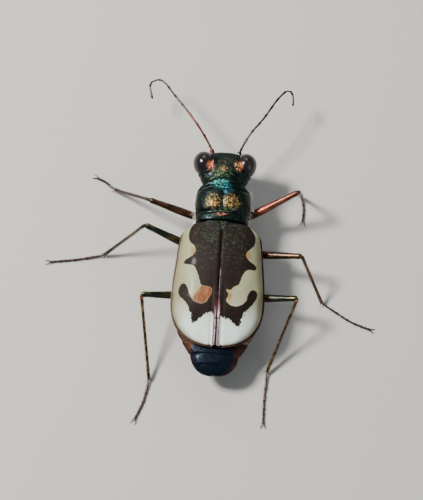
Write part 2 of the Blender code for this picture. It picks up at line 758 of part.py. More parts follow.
def make_head_parts(materials):
    cutters = [neck_cutter(), labrum_block("labrum_cutter", GAP)]
    parts = []
    for name, side in (("left", 1), ("right", -1)):
        cutters.append(ellipsoid("eye_socket", mirrored(EYE_CENTRE, side), EYE_RADII, 20, 12, GAP))
        cutters.append(mandible("mandible_cutter", side, GAP))
        cutters.append(maxillary_palp("palp_cutter", side, GAP))
        cutters.append(labial_palp("palp_cutter", side, GAP))
        cutters.append(antenna("antenna_cutter", name, GAP))
        eye = ellipsoid("eye_" + name, mirrored(EYE_CENTRE, side), EYE_RADII, 20, 12)
        parts.append(finish(eye, materials["eye"]))
        parts.append(finish(mandible("mandible_" + name, side), materials["ivory"]))
        parts.append(finish(maxillary_palp("maxillary_palp_" + name, side), materials["feeler"]))
        parts.append(finish(labial_palp("labial_palp_" + name, side), materials["feeler"]))
        parts.append(finish(antenna("antenna_" + name, name), materials["feeler"]))
    parts.append(finish(make_head("head", cutters), materials["green"]))
    parts.append(finish(labrum_block("labrum"), materials["ivory"]))
    return parts


def make_legs(materials):
    parts = []
    for leg in LEGS:
        parts.append(finish(coxa("coxa_" + leg, leg), materials["limb"]))
        parts.append(finish(femur("femur_" + leg, leg), materials["limb"]))
        parts.append(finish(tibia("tibia_" + leg, leg), materials["limb"]))
        parts.append(finish(tarsus("tarsus_" + leg, leg), materials["feeler"]))
    return parts


def place_on_floor(parts):
    # The root empty puts the middle of the whole footprint at the origin
    corners = [vertex.co for part in parts for vertex in part.data.vertices]
    low = [min(corner[axis] for corner in corners) for axis in range(2)]
    high = [max(corner[axis] for corner in corners) for axis in range(2)]
    root = bpy.data.objects.new("beetle_root", None)
    root.location = (-(low[0] + high[0]) / 2, -(low[1] + high[1]) / 2, 0)
    collection = new_collection("tiger_beetle")
    collection.objects.link(root)
    for part in parts:
        part.parent = root
        for owner in list(part.users_collection):
            owner.objects.unlink(part)
        collection.objects.link(part)


def main():
    clear_scene()
    materials = make_materials()
    parts = make_body(materials) + make_head_parts(materials) + make_legs(materials)
    place_on_floor(parts)


main()
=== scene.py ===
# A sand tiger beetle, life size: its shell, skin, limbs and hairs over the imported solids.
# Pieces are modelled in millimetres, as the beetle is drawn, and settle moves them into the frame.

import bpy
import math
import numpy as np
from mathutils import Matrix, Vector, noise


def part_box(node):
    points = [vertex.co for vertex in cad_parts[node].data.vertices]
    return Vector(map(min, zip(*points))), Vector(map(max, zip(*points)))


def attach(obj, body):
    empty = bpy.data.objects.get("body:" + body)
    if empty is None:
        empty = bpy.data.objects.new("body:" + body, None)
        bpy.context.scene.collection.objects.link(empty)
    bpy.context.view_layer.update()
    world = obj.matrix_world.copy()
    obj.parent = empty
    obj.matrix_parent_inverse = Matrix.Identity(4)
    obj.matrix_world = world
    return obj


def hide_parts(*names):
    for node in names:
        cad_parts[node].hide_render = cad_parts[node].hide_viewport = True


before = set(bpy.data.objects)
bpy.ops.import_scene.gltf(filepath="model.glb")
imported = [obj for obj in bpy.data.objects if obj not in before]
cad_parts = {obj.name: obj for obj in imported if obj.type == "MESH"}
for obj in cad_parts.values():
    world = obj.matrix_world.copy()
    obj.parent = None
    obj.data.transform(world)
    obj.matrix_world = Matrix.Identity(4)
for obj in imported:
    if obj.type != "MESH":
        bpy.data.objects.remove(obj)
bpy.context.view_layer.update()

millimetre = 0.001
solidGap = 0.2                                  # clear space between the solids of the frame
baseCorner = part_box("elytron_left")[0]          # the base of the left wing case, beside the midline
axisX = baseCorner.x - solidGap / 2 * millimetre
baseY = baseCorner.y
toFrame = Matrix.Translation((axisX, baseY, 0)) @ Matrix.Scale(millimetre, 4)
sides = {"left": 1, "right": -1}


# Modelling helpers

def startFrom(adder, name, **settings):
    if bpy.context.mode != "OBJECT":
        bpy.ops.object.mode_set(mode="OBJECT")
    bpy.ops.object.select_all(action="DESELECT")
    adder(**settings)
    piece = bpy.context.object
    piece.name = name
    bpy.ops.object.transform_apply(location=True, rotation=True, scale=True)
    return piece


def makeActive(piece):
    bpy.ops.object.select_all(action="DESELECT")
    piece.select_set(True)
    bpy.context.view_layer.objects.active = piece


def enterEdit():
    bpy.ops.object.mode_set(mode="EDIT")
    bpy.ops.mesh.select_all(action="SELECT")


def pullOut(move):
    bpy.ops.mesh.extrude_region_move(TRANSFORM_OT_translate={"value": move})


def leaveEdit():
    bpy.ops.mesh.select_all(action="SELECT")
    bpy.ops.mesh.normals_make_consistent(inside=False)
    bpy.ops.object.mode_set(mode="OBJECT")


def reshape(piece, rule):
    for vertex in piece.data.vertices:
        vertex.co = rule(vertex.co)
    piece.data.update()
    return piece


def finishWith(piece, kind, **settings):
    makeActive(piece)
    modifier = piece.modifiers.new(kind.lower(), kind)
    for key, value in settings.items():
        setattr(modifier, key, value)
    bpy.ops.object.modifier_apply(modifier=modifier.name)
    return piece


def copyOf(piece, matrix=Matrix.Identity(4)):
    double = piece.copy()
    double.data = piece.data.copy()
    bpy.context.scene.collection.objects.link(double)
    double.data.transform(matrix)
    if matrix.determinant() < 0:
        double.data.flip_normals()
    return double


def discard(*pieces):
    for piece in pieces:
        bpy.data.objects.remove(piece, do_unlink=True)


def joinAll(pieces, name):
    bpy.ops.object.select_all(action="DESELECT")
    for piece in pieces:
        piece.select_set(True)
    bpy.context.view_layer.objects.active = pieces[0]
    if len(pieces) > 1:
        bpy.ops.object.join()
    pieces[0].name = name
    return pieces[0]


def smoothAt(points, share):
    # The place at a share of a smooth curve through points of any dimension
    last = len(points) - 1
    place = last * min(max(share, 0.0), 1.0)
    index = min(int(place), last - 1)
    t = place - index
    before = points[max(index - 1, 0)]
    after = points[min(index + 2, last)]
    sample = []
    for a, b, c, d in zip(before, points[index], points[index + 1], after):
        curve = 2 * b + (c - a) * t + (2 * a - 5 * b + 4 * c - d) * t ** 2
        sample.append(0.5 * (curve + (3 * b - a - 3 * c + d) * t ** 3))
    return sample


def smoothRoute(points, count):
    return [Vector(smoothAt(points, step / (count - 1))) for step in range(count)]


def cutRoute(route, start, end, count=7):
    # The stretch of a route between two shares of its length, as evenly spaced places
    marks = [0.0]
    for a, b in zip(route, route[1:]):
        marks.append(marks[-1] + (b - a).length)
    places = []
    for step in range(count):
        goal = marks[-1] * (start + (end - start) * step / (count - 1))
        index = min(max(int(np.searchsorted(marks, goal)) - 1, 0), len(route) - 2)
        t = (goal - marks[index]) / max(marks[index + 1] - marks[index], 1e-9)
        places.append(route[index].lerp(route[index + 1], t))
    return places


def layAlong(piece, route, up=(0, 0, 1)):
    # Bends a piece one unit long on the Z axis so that it follows the route
    up = Vector(up)
    last = len(route) - 1

    def follow(point):
        place = min(max(point.z, 0.0), 1.0) * last
        index = min(int(place), last - 1)
        spot = route[index].lerp(route[index + 1], place - index)
        before = route[max(index - 1, 0)] if place - index < 0.5 else route[index]
        after = route[index + 1] if place - index < 0.5 else route[min(index + 2, last)]
        along = (after - before).normalized()
        side = along.cross(up).normalized()
        over = side.cross(along)
        return spot + side * point.x + over * point.y + along * (point.z - min(max(point.z, 0.0), 1.0))

    return reshape(piece, follow)


def standing(start, end, girth=1.0):
    # Takes a piece one unit long on the Z axis to lie from start to end
    start, end = Vector(start), Vector(end)
    along = end - start
    turn = along.to_track_quat("Z", "Y").to_matrix().to_4x4()
    return Matrix.Translation(start) @ turn @ Matrix.Diagonal((girth, girth, along.length, 1))


def turned(name, profile, facets=14):
    # A disc drawn out ring by ring up the Z axis; profile holds (height, radius) from foot to tip
    piece = startFrom(bpy.ops.mesh.primitive_circle_add, name, vertices=facets, radius=profile[0][1],
                      fill_type="NGON", location=(0, 0, profile[0][0]))
    enterEdit()
    for (height, radius), (nextHeight, nextRadius) in zip(profile, profile[1:]):
        pullOut((0, 0, nextHeight - height))
        bpy.ops.transform.resize(value=(nextRadius / radius, nextRadius / radius, 1))
    leaveEdit()
    return markShaft(piece)


def markShaft(piece):
    # Stores, for a piece that still stands on the Z axis, the direction round it and the share along it
    field = piece.data.attributes.new("shaft", "FLOAT_VECTOR", "POINT")
    for vertex, mark in zip(piece.data.vertices, field.data):
        outward = Vector((vertex.co.x, vertex.co.y, 0)).normalized()
        mark.vector = (outward.x, outward.y, vertex.co.z)
    return piece


def storeField(piece, name, values):
    field = piece.data.attributes.new(name, "FLOAT", "POINT")
    field.data.foreach_set("value", np.asarray(values, dtype=np.float32))


def settle(piece, name, material, nodes=(), sharpAngle=40):
    makeActive(piece)
    piece.name = name
    piece.data.name = name
    piece.data.transform(toFrame)
    piece.data.materials.clear()
    piece.data.materials.append(material)
    bpy.ops.object.shade_smooth_by_angle(angle=math.radians(sharpAngle))
    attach(piece, "root")
    if nodes:
        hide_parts(*nodes)
    return piece


def mirrored(point, side):
    return Vector((side * point[0], point[1], point[2]))


def power(value, exponent):
    return math.copysign(abs(value) ** exponent, value)


def bump(distance, width):
    return math.exp(-(distance / width) ** 2)


def ramp(value, low, high):
    t = min(max((value - low) / (high - low), 0.0), 1.0)
    return t * t * (3 - 2 * t)


def rough(point, size, depth, seed=0.0):
    return depth * noise.noise(Vector(point) / size + Vector((seed, 0, 0)))


# Shader helpers: each adds one node and gives back what it puts out

def addNode(tree, kind, **settings):
    item = tree.nodes.new(kind)
    for key, value in settings.items():
        setattr(item, key, value)
    return item


def feed(tree, socket, value):
    if isinstance(value, bpy.types.NodeSocket):
        tree.links.new(value, socket)
    else:
        socket.default_value = value


def calc(tree, operation, *values):
    item = addNode(tree, "ShaderNodeMath", operation=operation)
    for socket, value in zip(item.inputs, values):
        feed(tree, socket, value)
    return item.outputs[0]


def product(tree, first, second):
    return calc(tree, "MULTIPLY", first, second)


def total(tree, first, second):
    return calc(tree, "ADD", first, second)


def softStep(tree, value, low, high):
    item = addNode(tree, "ShaderNodeMapRange", interpolation_type="SMOOTHSTEP")
    feed(tree, item.inputs["Value"], value)
    item.inputs["From Min"].default_value = low
    item.inputs["From Max"].default_value = high
    return item.outputs["Result"]


def spread(tree, value, low, high):
    # Turns a value from 0 to 1 into one from low to high
    item = addNode(tree, "ShaderNodeMapRange")
    feed(tree, item.inputs["Value"], value)
    item.inputs["To Min"].default_value = low
    item.inputs["To Max"].default_value = high
    return item.outputs["Result"]


def fall(tree, value, low, high):
    return calc(tree, "SUBTRACT", 1.0, softStep(tree, value, low, high))


def mixColour(tree, factor, first, second):
    item = addNode(tree, "ShaderNodeMix", data_type="RGBA")
    for index, value in ((0, factor), (6, first), (7, second)):
        feed(tree, item.inputs[index], (*value, 1) if isinstance(value, tuple) else value)
    return item.outputs[2]


def grainField(tree, vector, size, detail=2.0):
    # Soft noise whose grains are about size millimetres across
    item = addNode(tree, "ShaderNodeTexNoise")
    feed(tree, item.inputs["Vector"], vector)
    item.inputs["Scale"].default_value = 1 / (size * millimetre)
    item.inputs["Detail"].default_value = detail
    return item.outputs["Fac"]


def stretched(tree, vector, scale):
    item = addNode(tree, "ShaderNodeMapping")
    feed(tree, item.inputs["Vector"], vector)
    item.inputs["Scale"].default_value = scale
    return item.outputs["Vector"]


def readAttribute(tree, name):
    return addNode(tree, "ShaderNodeAttribute", attribute_name=name).outputs["Fac"]


def shaftStreaks(tree, dashes, size=0.6):
    # Noise drawn out along a limb, broken into about so many dashes between its two ends
    shaft = addNode(tree, "ShaderNodeAttribute", attribute_name="shaft").outputs["Vector"]
    item = addNode(tree, "ShaderNodeTexNoise")
    feed(tree, item.inputs["Vector"], stretched(tree, shaft, (1.0, 1.0, dashes)))
    item.inputs["Scale"].default_value = 1 / size
    item.inputs["Detail"].default_value = 3.0
    return item.outputs["Fac"]


def objectPlace(tree):
    return addNode(tree, "ShaderNodeTexCoord").outputs["Object"]


def inFrame(point):
    return tuple(toFrame @ Vector(point))


def newGroup(name, inputs, outputs):
    group = bpy.data.node_groups.new(name, "ShaderNodeTree")
    for label, kind in inputs:
        group.interface.new_socket(label, in_out="INPUT", socket_type=kind)
    for label, kind in outputs:
        group.interface.new_socket(label, in_out="OUTPUT", socket_type=kind)
    return group, group.nodes.new("NodeGroupInput").outputs, group.nodes.new("NodeGroupOutput").inputs


def useGroup(tree, group, **values):
    item = tree.nodes.new("ShaderNodeGroup")
    item.node_tree = group
    for name, value in values.items():
        feed(tree, item.inputs[name], value)
    return item.outputs


def makeGranules():
    # Close-set rounded grains, as on a beetle's cuticle, each with its own random value, and a mask of the
    # gaps between them where the materials paint shade
    group, given, out = newGroup("granules", [("place", "NodeSocketVector"), ("scale", "NodeSocketFloat")],
                                 [("height", "NodeSocketFloat"), ("chance", "NodeSocketFloat"),
                                  ("hollowShade", "NodeSocketFloat")])
    cells = addNode(group, "ShaderNodeTexVoronoi", feature="F1")
    feed(group, cells.inputs["Vector"], given["place"])
    feed(group, cells.inputs["Scale"], given["scale"])
    dome = calc(group, "SUBTRACT", 1.0, cells.outputs["Distance"])
    fine = addNode(group, "ShaderNodeTexNoise")
    feed(group, fine.inputs["Vector"], given["place"])
    feed(group, fine.inputs["Scale"], product(group, given["scale"], 2.5))
    feed(group, out["height"], total(group, dome, product(group, fine.outputs["Fac"], 0.35)))
    parts = addNode(group, "ShaderNodeSeparateColor")
    feed(group, parts.inputs[0], cells.outputs["Color"])
    feed(group, out["chance"], parts.outputs[0])
    feed(group, out["hollowShade"], softStep(group, cells.outputs["Distance"], 0.35, 0.75))
    return group


def makePatch():
    # A ragged oval patch round a place on the body: 1 at its middle, 0 outside
    group, given, out = newGroup("patch", [("place", "NodeSocketVector"), ("centre", "NodeSocketVector"),
                                           ("inverseSize", "NodeSocketVector"),
                                           ("ragged", "NodeSocketFloat")],
                                 [("mask", "NodeSocketFloat")])
    offset = addNode(group, "ShaderNodeVectorMath", operation="SUBTRACT")
    feed(group, offset.inputs[0], given["place"])
    feed(group, offset.inputs[1], given["centre"])
    scaled = addNode(group, "ShaderNodeVectorMath", operation="MULTIPLY")
    feed(group, scaled.inputs[0], offset.outputs[0])
    feed(group, scaled.inputs[1], given["inverseSize"])
    reach = addNode(group, "ShaderNodeVectorMath", operation="LENGTH")
    feed(group, reach.inputs[0], scaled.outputs[0])
    wobble = product(group, calc(group, "SUBTRACT", grainField(group, given["place"], 0.18, 4.0), 0.5),
                  given["ragged"])
    edge = total(group, reach.outputs["Value"], wobble)
    feed(group, out["mask"], fall(group, edge, 0.45, 1.15))
    return group


def makeHandling():
    # The faint dullness and fine scratches of a model that has been dusted for years
    group, given, out = newGroup("handling", [("place", "NodeSocketVector"), ("amount", "NodeSocketFloat")],
                                 [("dull", "NodeSocketFloat"), ("scratch", "NodeSocketFloat")])
    cloud = softStep(group, grainField(group, given["place"], 0.9, 5.0), 0.42, 0.7)
    feed(group, out["dull"], product(group, cloud, given["amount"]))
    lines = grainField(group, stretched(group, given["place"], (1.0, 9.0, 3.0)), 0.25, 3.0)
    feed(group, out["scratch"], product(group, lines, given["amount"]))
    return group


granules = makeGranules()
patch = makePatch()
handling = makeHandling()


def newMaterial(name, roughness, metallic=0.0, coat=0.0, specular=0.5):
    material = bpy.data.materials.new(name)
    material.use_nodes = True
    tree = material.node_tree
    shader = tree.nodes["Principled BSDF"]
    shader.inputs["Roughness"].default_value = roughness
    shader.inputs["Metallic"].default_value = metallic
    shader.inputs["Coat Weight"].default_value = coat
    shader.inputs["Coat Roughness"].default_value = 0.12
    shader.inputs["Specular IOR Level"].default_value = specular
    return material, tree, shader.inputs


def finishSurface(tree, sockets, colour, gloss, height, depth, strength):
    # Feeds the colour, the roughness and a relief whose depth is in millimetres
    item = addNode(tree, "ShaderNodeBump")
    feed(tree, item.inputs["Height"], height)
    feed(tree, item.inputs["Distance"], depth * millimetre)
    feed(tree, item.inputs["Strength"], strength)
    for name, value in (("Base Color", colour), ("Roughness", gloss), ("Normal", item.outputs["Normal"])):
        tree.links.new(value, sockets[name])


def wornGloss(tree, place, value, low, high, amount):
    # Roughness from low to high, duller where the model was handled
    return total(tree, spread(tree, value, low, high),
                 useGroup(tree, handling, place=place, amount=amount)["dull"])


# Wing cases

elytraValues = {
    "length": 9.4, "halfWidth": 3.55, "widest": 0.6, "top": 5.13, "apexTop": 3.43, "margin": 3.3,
    "marginDrop": 0.15, "roundness": 2.4, "wall": 0.2, "gutter": 0.13, "gutterStart": 0.94, "columns": 60,
    "rows": 132, "cream": (0.30, 0.315, 0.19), "apexWhiteHighlight": (0.80, 0.92, 0.86),
    "sideBeigeShade": (0.18, 0.14, 0.065), "dark": (0.013, 0.006, 0.004), "darkGreen": (0.009, 0.011, 0.006),
    "speck": (0.065, 0.08, 0.05), "amber": (0.25, 0.15, 0.035), "seam": (0.012, 0.006, 0.006),
    "seamCopper": (0.30, 0.13, 0.15), "seamHighlight": (0.90, 0.70, 0.75), "rim": (0.060, 0.026, 0.014),
    "grain": 0.085,
}

# Outlines of the dark marking, as (distance from the midline, distance behind the base)
darkOutlines = {
    "left": ((0, -0.3), (1.95, -0.3), (2.08, 0), (2.42, 0.87), (2.34, 1.64), (1.97, 2.04), (1.86, 2.51),
             (2.18, 2.86), (2.64, 3.15), (2.60, 3.42), (1.97, 3.60), (1.69, 4.06), (1.43, 4.78), (1.28, 5.13),
             (0.78, 5.22), (0.51, 5.37), (0.49, 5.74), (0.66, 6.05), (0.86, 6.35), (1.15, 6.51), (1.53, 6.44),
             (1.86, 6.26), (2.15, 5.74), (2.38, 5.13), (2.68, 4.93), (2.95, 5.31), (2.92, 5.85), (2.46, 6.32),
             (2.03, 7.01), (1.88, 7.65), (1.72, 7.90), (1.22, 7.57), (0.82, 7.24), (0.45, 7.10), (0, 7.05)),
    "right": ((0, -0.3), (2.00, -0.3), (2.15, 0.18), (2.58, 0.90), (2.56, 1.57), (2.27, 2.02), (1.99, 2.36),
              (2.00, 2.72), (2.32, 3.03), (2.74, 3.27), (2.72, 3.60), (2.18, 3.69), (1.85, 4.02),
              (1.62, 4.68), (1.50, 4.96), (1.13, 5.17), (0.93, 5.40), (0.60, 5.38), (0.80, 5.80),
              (0.62, 6.17), (0.86, 6.45), (1.21, 6.59), (1.72, 6.49), (2.13, 6.10), (2.22, 5.66),
              (2.52, 5.21), (2.87, 5.26), (2.94, 5.68), (2.66, 6.26), (2.17, 6.85), (1.90, 7.37),
              (1.79, 7.85), (1.64, 8.04), (1.28, 7.80), (0.75, 7.52), (0.27, 7.39), (0, 7.36)),
}
stains = {
    "left": {"colour": (0.15, 0.048, 0.018), "light": (0.27, 0.115, 0.048), "outline":
             ((1.28, 5.13), (0.78, 5.20), (0.50, 5.37), (0.48, 5.74), (0.66, 6.07), (0.86, 6.37),
              (1.15, 6.53), (1.53, 6.46), (1.86, 6.28), (1.87, 6.00), (1.58, 5.62), (1.40, 5.32))},
    "right": {"colour": (0.27, 0.155, 0.060), "light": (0.46, 0.36, 0.19), "outline":
              ((0.58, 5.33), (0.90, 5.37), (1.08, 5.70), (1.04, 6.22), (0.85, 6.42), (0.60, 6.17),
               (0.80, 5.85))},
}
amberPlaces = {"left": (1.93, 2.42), "right": (2.04, 2.55)}


def elytraHalfWidth(share):
    # Shoulders rise quickly, the sides swell to the widest place and the end is rounded
    widest = elytraValues["widest"]
    if share > widest:
        t = min((share - widest) / (1 - widest), 1.0)
        return elytraValues["halfWidth"] * (1 - t ** 2.6) ** 0.42
    swell = 0.104 * ((widest - share) / 0.436) ** 1.33
    shoulder = 0.17 * max(1 - share / 0.1, 0) ** 1.6
    return elytraValues["halfWidth"] * (1 - swell - shoulder)


def elytraTop(share):
    if share < 0.35:
        return elytraValues["top"] - 0.15 * ((0.35 - share) / 0.35) ** 2
    drop = elytraValues["top"] - elytraValues["apexTop"]
    return elytraValues["top"] - drop * ((share - 0.35) / 0.65) ** 3


def elytraMargin(share):
    return elytraValues["margin"] - elytraValues["marginDrop"] * share


def elytraShare(row):
    # Rows are even over the front of the shell and crowd together round its end
    widest = elytraValues["widest"]
    evenRows = 0.55
    if row < evenRows:
        return widest * row / evenRows
    return widest + (1 - widest) * math.sin(math.radians(88) * (row - evenRows) / (1 - evenRows)) ** (1 / 1.3)


def elytraPlace(across, share):
    # The dome of the shell, inside a narrow gutter that runs round its edge
    values = elytraValues
    angle = min(across / values["gutterStart"], 1.0) * math.pi / 2
    width = elytraHalfWidth(share) - solidGap / 2
    ahead = elytraHalfWidth(min(share + 0.005, 1.0))
    slope = (ahead - elytraHalfWidth(share - 0.005)) / (0.01 * values["length"])
    outward = Vector((1, -slope, 0)).normalized() * values["gutter"]
    flare = max(across - values["gutterStart"], 0) / (1 - values["gutterStart"])
    margin = elytraMargin(share) + 0.07 * (1 - flare) ** 2
    reach = math.sin(angle) ** (2 / values["roundness"])
    rise = max(math.cos(angle), 0) ** (2 / values["roundness"])
    return Vector((0.03 + (width + 0.07 - outward.x) * reach + outward.x * flare,
                   share * values["length"] + outward.y * (flare - 1),
                   margin + (elytraTop(share) - margin) * rise))


def elytraRelief(across, share, place):
    values = elytraValues
    x = place.x
    raised = ramp(share, 0.45, 0.72)
    height = 0.065 * raised * bump(x - 0.19, 0.085) - 0.07 * raised * bump(x - 0.40, 0.09)
    height -= 0.06 * bump(x - 0.03, 0.07)
    height += 0.015 * (1 - raised) * bump(x - 0.2, 0.1)
    height += 0.10 * bump(across - 0.66, 0.12) * bump(share - 0.07, 0.06)
    height -= 0.03 * bump(across - values["gutterStart"], 0.012)
    height += 0.03 * bump(across - 0.99, 0.008)
    height += 0.02 * math.sin(x * 4.2 + 0.6) * (1 - abs(2 * across - 1)) + rough(place, 0.9, 0.035)
    return height


def signedReach(points, outline):
    # Distance from each point to a closed outline, positive inside it
    steps = 400
    outline = np.array([smoothAt(list(outline) + [outline[0]], step / steps) for step in range(steps)])
    nextOnes = np.roll(outline, -1, axis=0)
    edge = nextOnes - outline
    result = np.empty(len(points))
    for index, point in enumerate(points):
        offset = point - outline
        along = np.clip((offset * edge).sum(1) / np.maximum((edge * edge).sum(1), 1e-12), 0, 1)
        nearest = np.sqrt(((offset - edge * along[:, None]) ** 2).sum(1).min())
        crosses = (outline[:, 1] > point[1]) != (nextOnes[:, 1] > point[1])
        slope = edge[:, 0] / np.where(edge[:, 1] == 0, 1e-12, edge[:, 1])
        hits = crosses & (point[0] < outline[:, 0] + slope * (point[1] - outline[:, 1]))
        result[index] = nearest if hits.sum() % 2 else -nearest
    return result


def makeElytraMaterial(name, sideName):
    values = elytraValues
    stain = stains[sideName]
    material, tree, sockets = newMaterial(name, 0.4, 0.0, coat=0.04, specular=0.14)
    place = objectPlace(tree)
    along = readAttribute(tree, "along")
    across = readAttribute(tree, "across")
    fine = grainField(tree, place, 0.09, 4.0)
    broad = grainField(tree, place, 1.3, 3.0)
    streak = grainField(tree, stretched(tree, place, (1.0, 0.16, 1.0)), 0.1, 3.0)
    cells = useGroup(tree, granules, place=place, scale=1 / (values["grain"] * millimetre))

    # Paler toward the end of the shell: partly the real whiter tip, partly a painted highlight where the end
    # slopes toward the light
    cream = mixColour(tree, softStep(tree, along, 0.62, 0.92), values["cream"], values["apexWhiteHighlight"])
    # Darker beige toward the outer edge: partly the real warmer margin, partly painted shade where the side
    # turns away from the light; the fine mottle below reuses this colour
    side = total(tree, across, product(tree, broad, 0.25))
    cream = mixColour(tree, softStep(tree, side, 0.52, 1.08), cream, values["sideBeigeShade"])
    cream = mixColour(tree, spread(tree, softStep(tree, fine, 0.35, 0.7), 0.0, 0.22), cream,
                      values["sideBeigeShade"])
    amber = useGroup(tree, patch, place=place, centre=inFrame((sides[sideName] * amberPlaces[sideName][0],
                     amberPlaces[sideName][1], 4.6)), inverseSize=(2600, 2300, 900), ragged=0.8)["mask"]
    cream = mixColour(tree, product(tree, amber, 0.8), cream, values["amber"])

    stainTone = mixColour(tree, softStep(tree, streak, 0.42, 0.68), stain["colour"], stain["light"])
    stainEdge = total(tree, readAttribute(tree, "stainReach"), calc(tree, "MULTIPLY_ADD", broad, 0.2, -0.1))
    cream = mixColour(tree, softStep(tree, stainEdge, -0.07, 0.09), cream, stainTone)

    frontShare = fall(tree, along, 0.10, 0.50)
    inner = fall(tree, across, 0.22, 0.55)
    greenish = product(tree, frontShare, inner)
    dark = mixColour(tree, calc(tree, "MULTIPLY_ADD", greenish, 0.75, 0.05), values["dark"],
                     values["darkGreen"])
    # Painted shade: the gaps between the grains are darkened
    dark = mixColour(tree, product(tree, cells["hollowShade"], 0.7), dark, values["seam"])
    glints = product(tree, softStep(tree, cells["chance"], 0.62, 1.0), softStep(tree, fine, 0.32, 0.62))
    glintShare = calc(tree, "MULTIPLY_ADD", greenish, 0.72, 0.14)
    dark = mixColour(tree, product(tree, glints, glintShare), dark, values["speck"])

    wobble = calc(tree, "MULTIPLY_ADD", fine, 0.12, -0.06)
    fringe = product(tree, calc(tree, "SUBTRACT", streak, 0.5), softStep(tree, along, 0.70, 0.76))
    edge = total(tree, total(tree, readAttribute(tree, "darkReach"), wobble),
                product(tree, fringe, 0.55))
    darkShare = softStep(tree, edge, -0.025, 0.03)
    colour = mixColour(tree, darkShare, cream, dark)

    seamReach = total(tree, readAttribute(tree, "fromSeam"), calc(tree, "MULTIPLY_ADD", streak, 0.05, -0.025))
    rear = softStep(tree, along, 0.55, 0.75)
    seamShare = softStep(tree, calc(tree, "SUBTRACT", spread(tree, rear, 0.12, 0.24), seamReach), -0.03, 0.03)
    seamTone = mixColour(tree, softStep(tree, streak, 0.3, 0.7), values["seam"], values["seamCopper"])
    # Painted highlight: a pale pink-white line along the ridge beside the rear of the seam
    fromHighlight = calc(tree, "ABSOLUTE", calc(tree, "SUBTRACT", readAttribute(tree, "fromSeam"), 0.12))
    highlightLine = fall(tree, fromHighlight, 0.04, 0.075)
    highlightLine = product(tree, highlightLine, softStep(tree, streak, 0.30, 0.45))
    seamTone = mixColour(tree, product(tree, highlightLine, softStep(tree, along, 0.70, 0.78)), seamTone,
                         values["seamHighlight"])
    seamTone = mixColour(tree, rear, values["seam"], seamTone)
    colour = mixColour(tree, seamShare, colour, seamTone)
    rim = softStep(tree, across, 0.925, 0.945)
    rimTone = mixColour(tree, softStep(tree, streak, 0.4, 0.7), values["rim"], values["seam"])
    colour = mixColour(tree, rim, colour, rimTone)

    copperShare = product(tree, seamShare, rear)
    metal = calc(tree, "MAXIMUM", product(tree, darkShare, 0.2), product(tree, copperShare, 0.85))
    tree.links.new(metal, sockets["Metallic"])
    wear = useGroup(tree, handling, place=place, amount=0.12)
    gloss = total(tree, spread(tree, darkShare, 0.38, 0.55), wear["dull"])
    gloss = calc(tree, "SUBTRACT", gloss, product(tree, copperShare, 0.16))
    calm = product(tree, seamShare, calc(tree, "SUBTRACT", 1.0, rear))
    gloss = total(tree, gloss, product(tree, calm, 0.4))
    relief = product(tree, cells["height"], spread(tree, darkShare, 0.3, 1.0))
    relief = total(tree, relief, product(tree, wear["scratch"], 0.4))
    finishSurface(tree, sockets, colour, gloss, relief, 0.02, 0.8)
    return material


def makeElytron(sideName):
    side = sides[sideName]
    values = elytraValues
    shell = startFrom(bpy.ops.mesh.primitive_grid_add, "shell", x_subdivisions=values["columns"],
                      y_subdivisions=values["rows"], size=2)
    fields = []

    def wrap(point):
        across = min(max((point.x + 1) / 2, 0.0), 1.0)
        share = elytraShare(min(max((point.y + 1) / 2, 0.0), 1.0))
        place = elytraPlace(across, share)
        step = 0.004
        alongStep = elytraPlace(across, min(share + step, 0.999)) - elytraPlace(across, share - step)
        acrossStep = elytraPlace(min(across + step, 1.0), share) - elytraPlace(max(across - step, 0.0), share)
        normal = acrossStep.cross(alongStep).normalized()
        place += normal * elytraRelief(across, share, place)
        fields.append((across, share))
        return Vector((side * max(place.x, 0.03), place.y, place.z))

    reshape(shell, wrap)
    fields = np.array(fields)
    storeField(shell, "across", fields[:, 0])
    storeField(shell, "along", fields[:, 1])
    if side < 0:
        shell.data.flip_normals()
    finishWith(shell, "SOLIDIFY", thickness=values["wall"], offset=-1)
    spots = np.array([(abs(v.co.x), v.co.y) for v in shell.data.vertices])
    storeField(shell, "darkReach", signedReach(spots, darkOutlines[sideName]))
    storeField(shell, "stainReach", signedReach(spots, stains[sideName]["outline"]))
    storeField(shell, "fromSeam", spots[:, 0])
    material = makeElytraMaterial("elytron_" + sideName + "_cream", sideName)
    return settle(shell, "wingCase" + sideName.capitalize(), material,
                  ["elytron_" + sideName], 60)


for sideName in sides:
    makeElytron(sideName)
print("wing cases done")


# Metallic skin of the body

jewelValues = {
    "night": (0.003, 0.006, 0.006), "green": (0.014, 0.060, 0.030), "blueBlack": (0.005, 0.009, 0.014),
    "gold": (0.72, 0.52, 0.15), "copper": (0.66, 0.20, 0.06), "lime": (0.34, 0.44, 0.12),
    "teal": (0.04, 0.38, 0.36), "turquoise": (0.12, 0.62, 0.52), "deepBlue": (0.02, 0.10, 0.26),
    "rose": (0.80, 0.26, 0.20), "bronze": (0.26, 0.18, 0.05),
}


